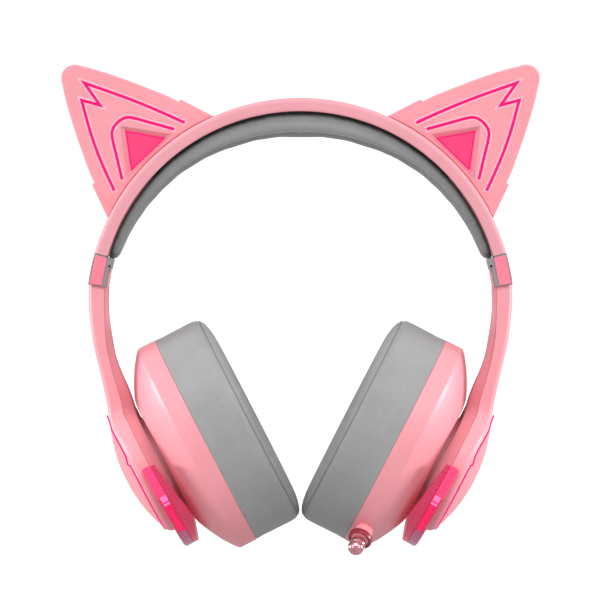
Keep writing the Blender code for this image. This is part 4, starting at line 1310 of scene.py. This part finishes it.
def build_microphone():
    """The collar in the left housing, the ribbed stem and the metal bead at its end."""
    collar = [(5.5, 8.0), (5.35, 8.35), (5.0, 8.5), (4.4, 8.5), (4.4, 6.1), (5.3, 6.1), (5.5, 6.4)]
    show("mic_collar_ring", turned(collar, 40), MIC, COLLAR, "left_cup", "mic_collar", LEFT)
    boom = [(0, -54), (1.3, -54), (1.5, -53.6), (1.5, 9.2), (0, 9.2)]
    for i in range(16):
        height = -50 + i * 3.4
        boom[3 + i * 3:3 + i * 3] = [(1.5, height), (1.34, height + 0.35), (1.5, height + 0.7)]
    show("mic_stem", turned(boom, 20), MIC, RUBBER, "microphone", "mic_boom", LEFT)
    bead = [(0, 16.4), (1.2, 16.3), (2.2, 15.85), (3.0, 15.1), (3.45, 14.2), (3.65, 13.2), (3.5, 12.5)]
    bead += [(2.95, 12.05), (2.95, 11.95), (3.5, 11.5), (3.65, 10.8), (3.45, 9.9)]
    bead += [(3.0, 9.2), (2.3, 8.85), (0, 8.8)]
    tip = turned(bead, 40)
    for i in range(3):
        angle = 2 * math.pi * i / 3
        tip = cut(tip, shifted(rod(0.35, 15.2, 18, sides=12), math.cos(angle), math.sin(angle)))
    show("mic_bead", tip, MIC, TIP, "microphone", "mic_tip", LEFT)


def build_buttons():
    """Four caps in the left rim, told apart by the number of dots pressed into each."""
    for name, degrees in BUTTON_ANGLES.items():
        place = rim_place(degrees, BUTTON_HEIGHT)
        cap = bevelled(box_mesh((-4.0, -3.6, -1.8), (4.0, 1.1, 1.8)), 0.45, 3)
        marks = {"power_button": 1, "volume_up_button": 2, "volume_down_button": 2, "mode_button": 3}[name]
        for i in range(marks):
            dot = shifted(rod(0.3, 0.85, 2, "Y", 12), x=(i - (marks - 1) / 2) * 1.3)
            cap = cut(cap, dot)
        skirt = box_mesh((-5.0, -4.4, -2.5), (5.0, -3.4, 2.5))
        # The caps take the same darkened shell pink that paints shade on the inner cover.
        show(name + "_cap", united(cap, skirt), place, SHELL_PINK_PAINTED_SHADE, name, name, LEFT)


def build_ports():
    """The port plate in the left rim, with the audio jack's ring and the USB tongue."""
    place = rim_place(PORT_ANGLE, PORT_HEIGHT)
    face = PORT_PROUD
    cover = bevelled(box_mesh((-12.2, face - 1.0, -2.8), (12.2, face + 0.2, 2.8)), 0.25, 2)
    left, right = USB_PLACE - 4.5, USB_PLACE + 4.5
    usb = rounded([(left, -1.6), (right, -1.6), (right, 1.6), (left, 1.6)], 1.5, 5)
    opening = plate(usb, -4, 4)
    opening.transform(Matrix.Rotation(math.radians(90), 4, "X"))
    cover = cut(cover, opening)
    cover = cut(cover, shifted(rod(1.8, -3, 3, "Y"), x=JACK_PLACE))
    cover = cut(cover, shifted(rod(0.5, -3, 3, "Y", 12), x=0.9))
    show("port_cover", cover, place, RUBBER, "left_cup", "port_plate", LEFT)
    ring = [(1.85, face + 0.05), (2.25, face + 0.25), (2.45, face + 0.1)]
    ring_mesh = turned([*ring, (2.45, face - 0.3), (1.85, face - 0.3)], 32)
    ring_mesh.transform(Matrix.Rotation(math.radians(-90), 4, "X"))
    show("jack_ring", shifted(ring_mesh, x=JACK_PLACE), place, STEEL, "left_cup", sides=LEFT)
    tongue = box_mesh((USB_PLACE - 3.2, -6.6, -0.35), (USB_PLACE + 3.2, face - 1.6, 0.35))
    tongue = bevelled(tongue, 0.12, 2)
    show("usb_tongue", tongue, place, DARK, "left_cup", sides=LEFT)


def finish_kept_nodes():
    """Better materials for the CAD nodes whose shapes stay."""
    looks = {
        "headband_spring": STEEL, "headband_liner": DARK, "battery": FOIL, "main_board": BOARD,
        "usb_socket": STEEL, "audio_socket": DARK,
    }
    for side in BOTH:
        looks[side + "_pivot_cross"] = SCREW
        looks[side + "_baffle"] = RUBBER
        looks[side + "_driver"] = CONE
        looks[side + "_ear_led_board"] = BOARD
    for node, (material, _) in looks.items():
        for place in frame["nodes"][node].material_slots:
            place.material = material


# ---------------- stage, lights and camera
def white_stage(name, mesh):
    """A stage piece that glows white: the camera sees it, and it bounces no light."""
    look = Look(name + "_white")
    white, _ = look.finished(None, {
        "Base Color": (0.3, 0.3, 0.3, 1),
        "Roughness": 0.9,
        "Emission Color": (1, 1, 1, 1),
        "Emission Strength": 1.0,
    })
    mesh.shade_smooth()
    mesh.materials.append(white)
    stage = bpy.data.objects.new(name, mesh)
    stage.visible_diffuse = False
    stage.visible_glossy = False
    bpy.context.scene.collection.objects.link(stage)
    return stage


def build_stage():
    """A wide white floor, low enough for the arms slid out, and a round white wall far outside it."""
    low = CAD_BOX[0].z - FLOOR_DROP
    half, radius, bend, height = 7.0, 6.0, 0.9, 6.0
    floor = [[(x, y, low) for y in (-half, half)] for x in (-half, half)]
    white_stage("floor", lofted(floor, ring=False))
    turns = [math.pi / 2 * i / 16 for i in range(17)]
    profile = [(radius + bend * math.sin(a), low - 0.002 + bend * (1 - math.cos(a))) for a in turns]
    profile.append((radius + bend, height))
    rays = [2 * math.pi * i / 72 for i in range(73)]
    rows = [[(r * math.cos(a), r * math.sin(a), z) for r, z in profile] for a in rays]
    wall = white_stage("wall", lofted(rows, ring=False))
    wall.visible_shadow = False


def area_light(name, place, target, size, power):
    data = bpy.data.lights.new(name, "AREA")
    data.shape = "RECTANGLE"
    data.size, data.size_y = size
    data.energy = power
    light = bpy.data.objects.new(name, data)
    light.location = place
    light.rotation_euler = (Vector(target) - Vector(place)).to_track_quat("-Z", "Y").to_euler()
    bpy.context.scene.collection.objects.link(light)


def build_lights():
    world = bpy.data.worlds.new("studio")
    world.use_nodes = True
    background = world.node_tree.nodes["Background"]
    background.inputs["Color"].default_value = (1, 1, 1, 1)
    background.inputs["Strength"].default_value = 0.55
    bpy.context.scene.world = world
    middle = (0, 0, -0.08)
    area_light("key", (0, -1.9, 1.5), middle, (2.0, 1.2), 33)
    area_light("top", (0, 0.4, 1.9), middle, (2.0, 1.4), 13)
    for side in (-1, 1):
        area_light("fill", (side * 1.7, -1.6, 0.3), middle, (0.8, 1.6), 7)
        area_light("side", (side * 1.9, 0.15, 0.0), (0, 0, -0.15), (0.6, 0.36), 26)


def build_camera():
    data = bpy.data.cameras.new("camera")
    data.sensor_width = 36
    data.lens = data.sensor_width * CAMERA_DISTANCE / VIEW_WIDTH
    camera = bpy.data.objects.new("camera", data)
    camera.location = (-0.0002, -CAMERA_DISTANCE, -0.074)
    camera.rotation_euler = (math.radians(90), 0, 0)
    bpy.context.scene.collection.objects.link(camera)
    bpy.context.scene.camera = camera
    bpy.context.scene.view_settings.view_transform = "Standard"


build_camera()
build_lights()
build_stage()
build_band()
build_head_pad()
build_ears()
build_slider()
build_arm()
build_light_bar()
build_cups()
build_ear_cushions()
build_microphone()
build_buttons()
build_ports()
finish_kept_nodes()
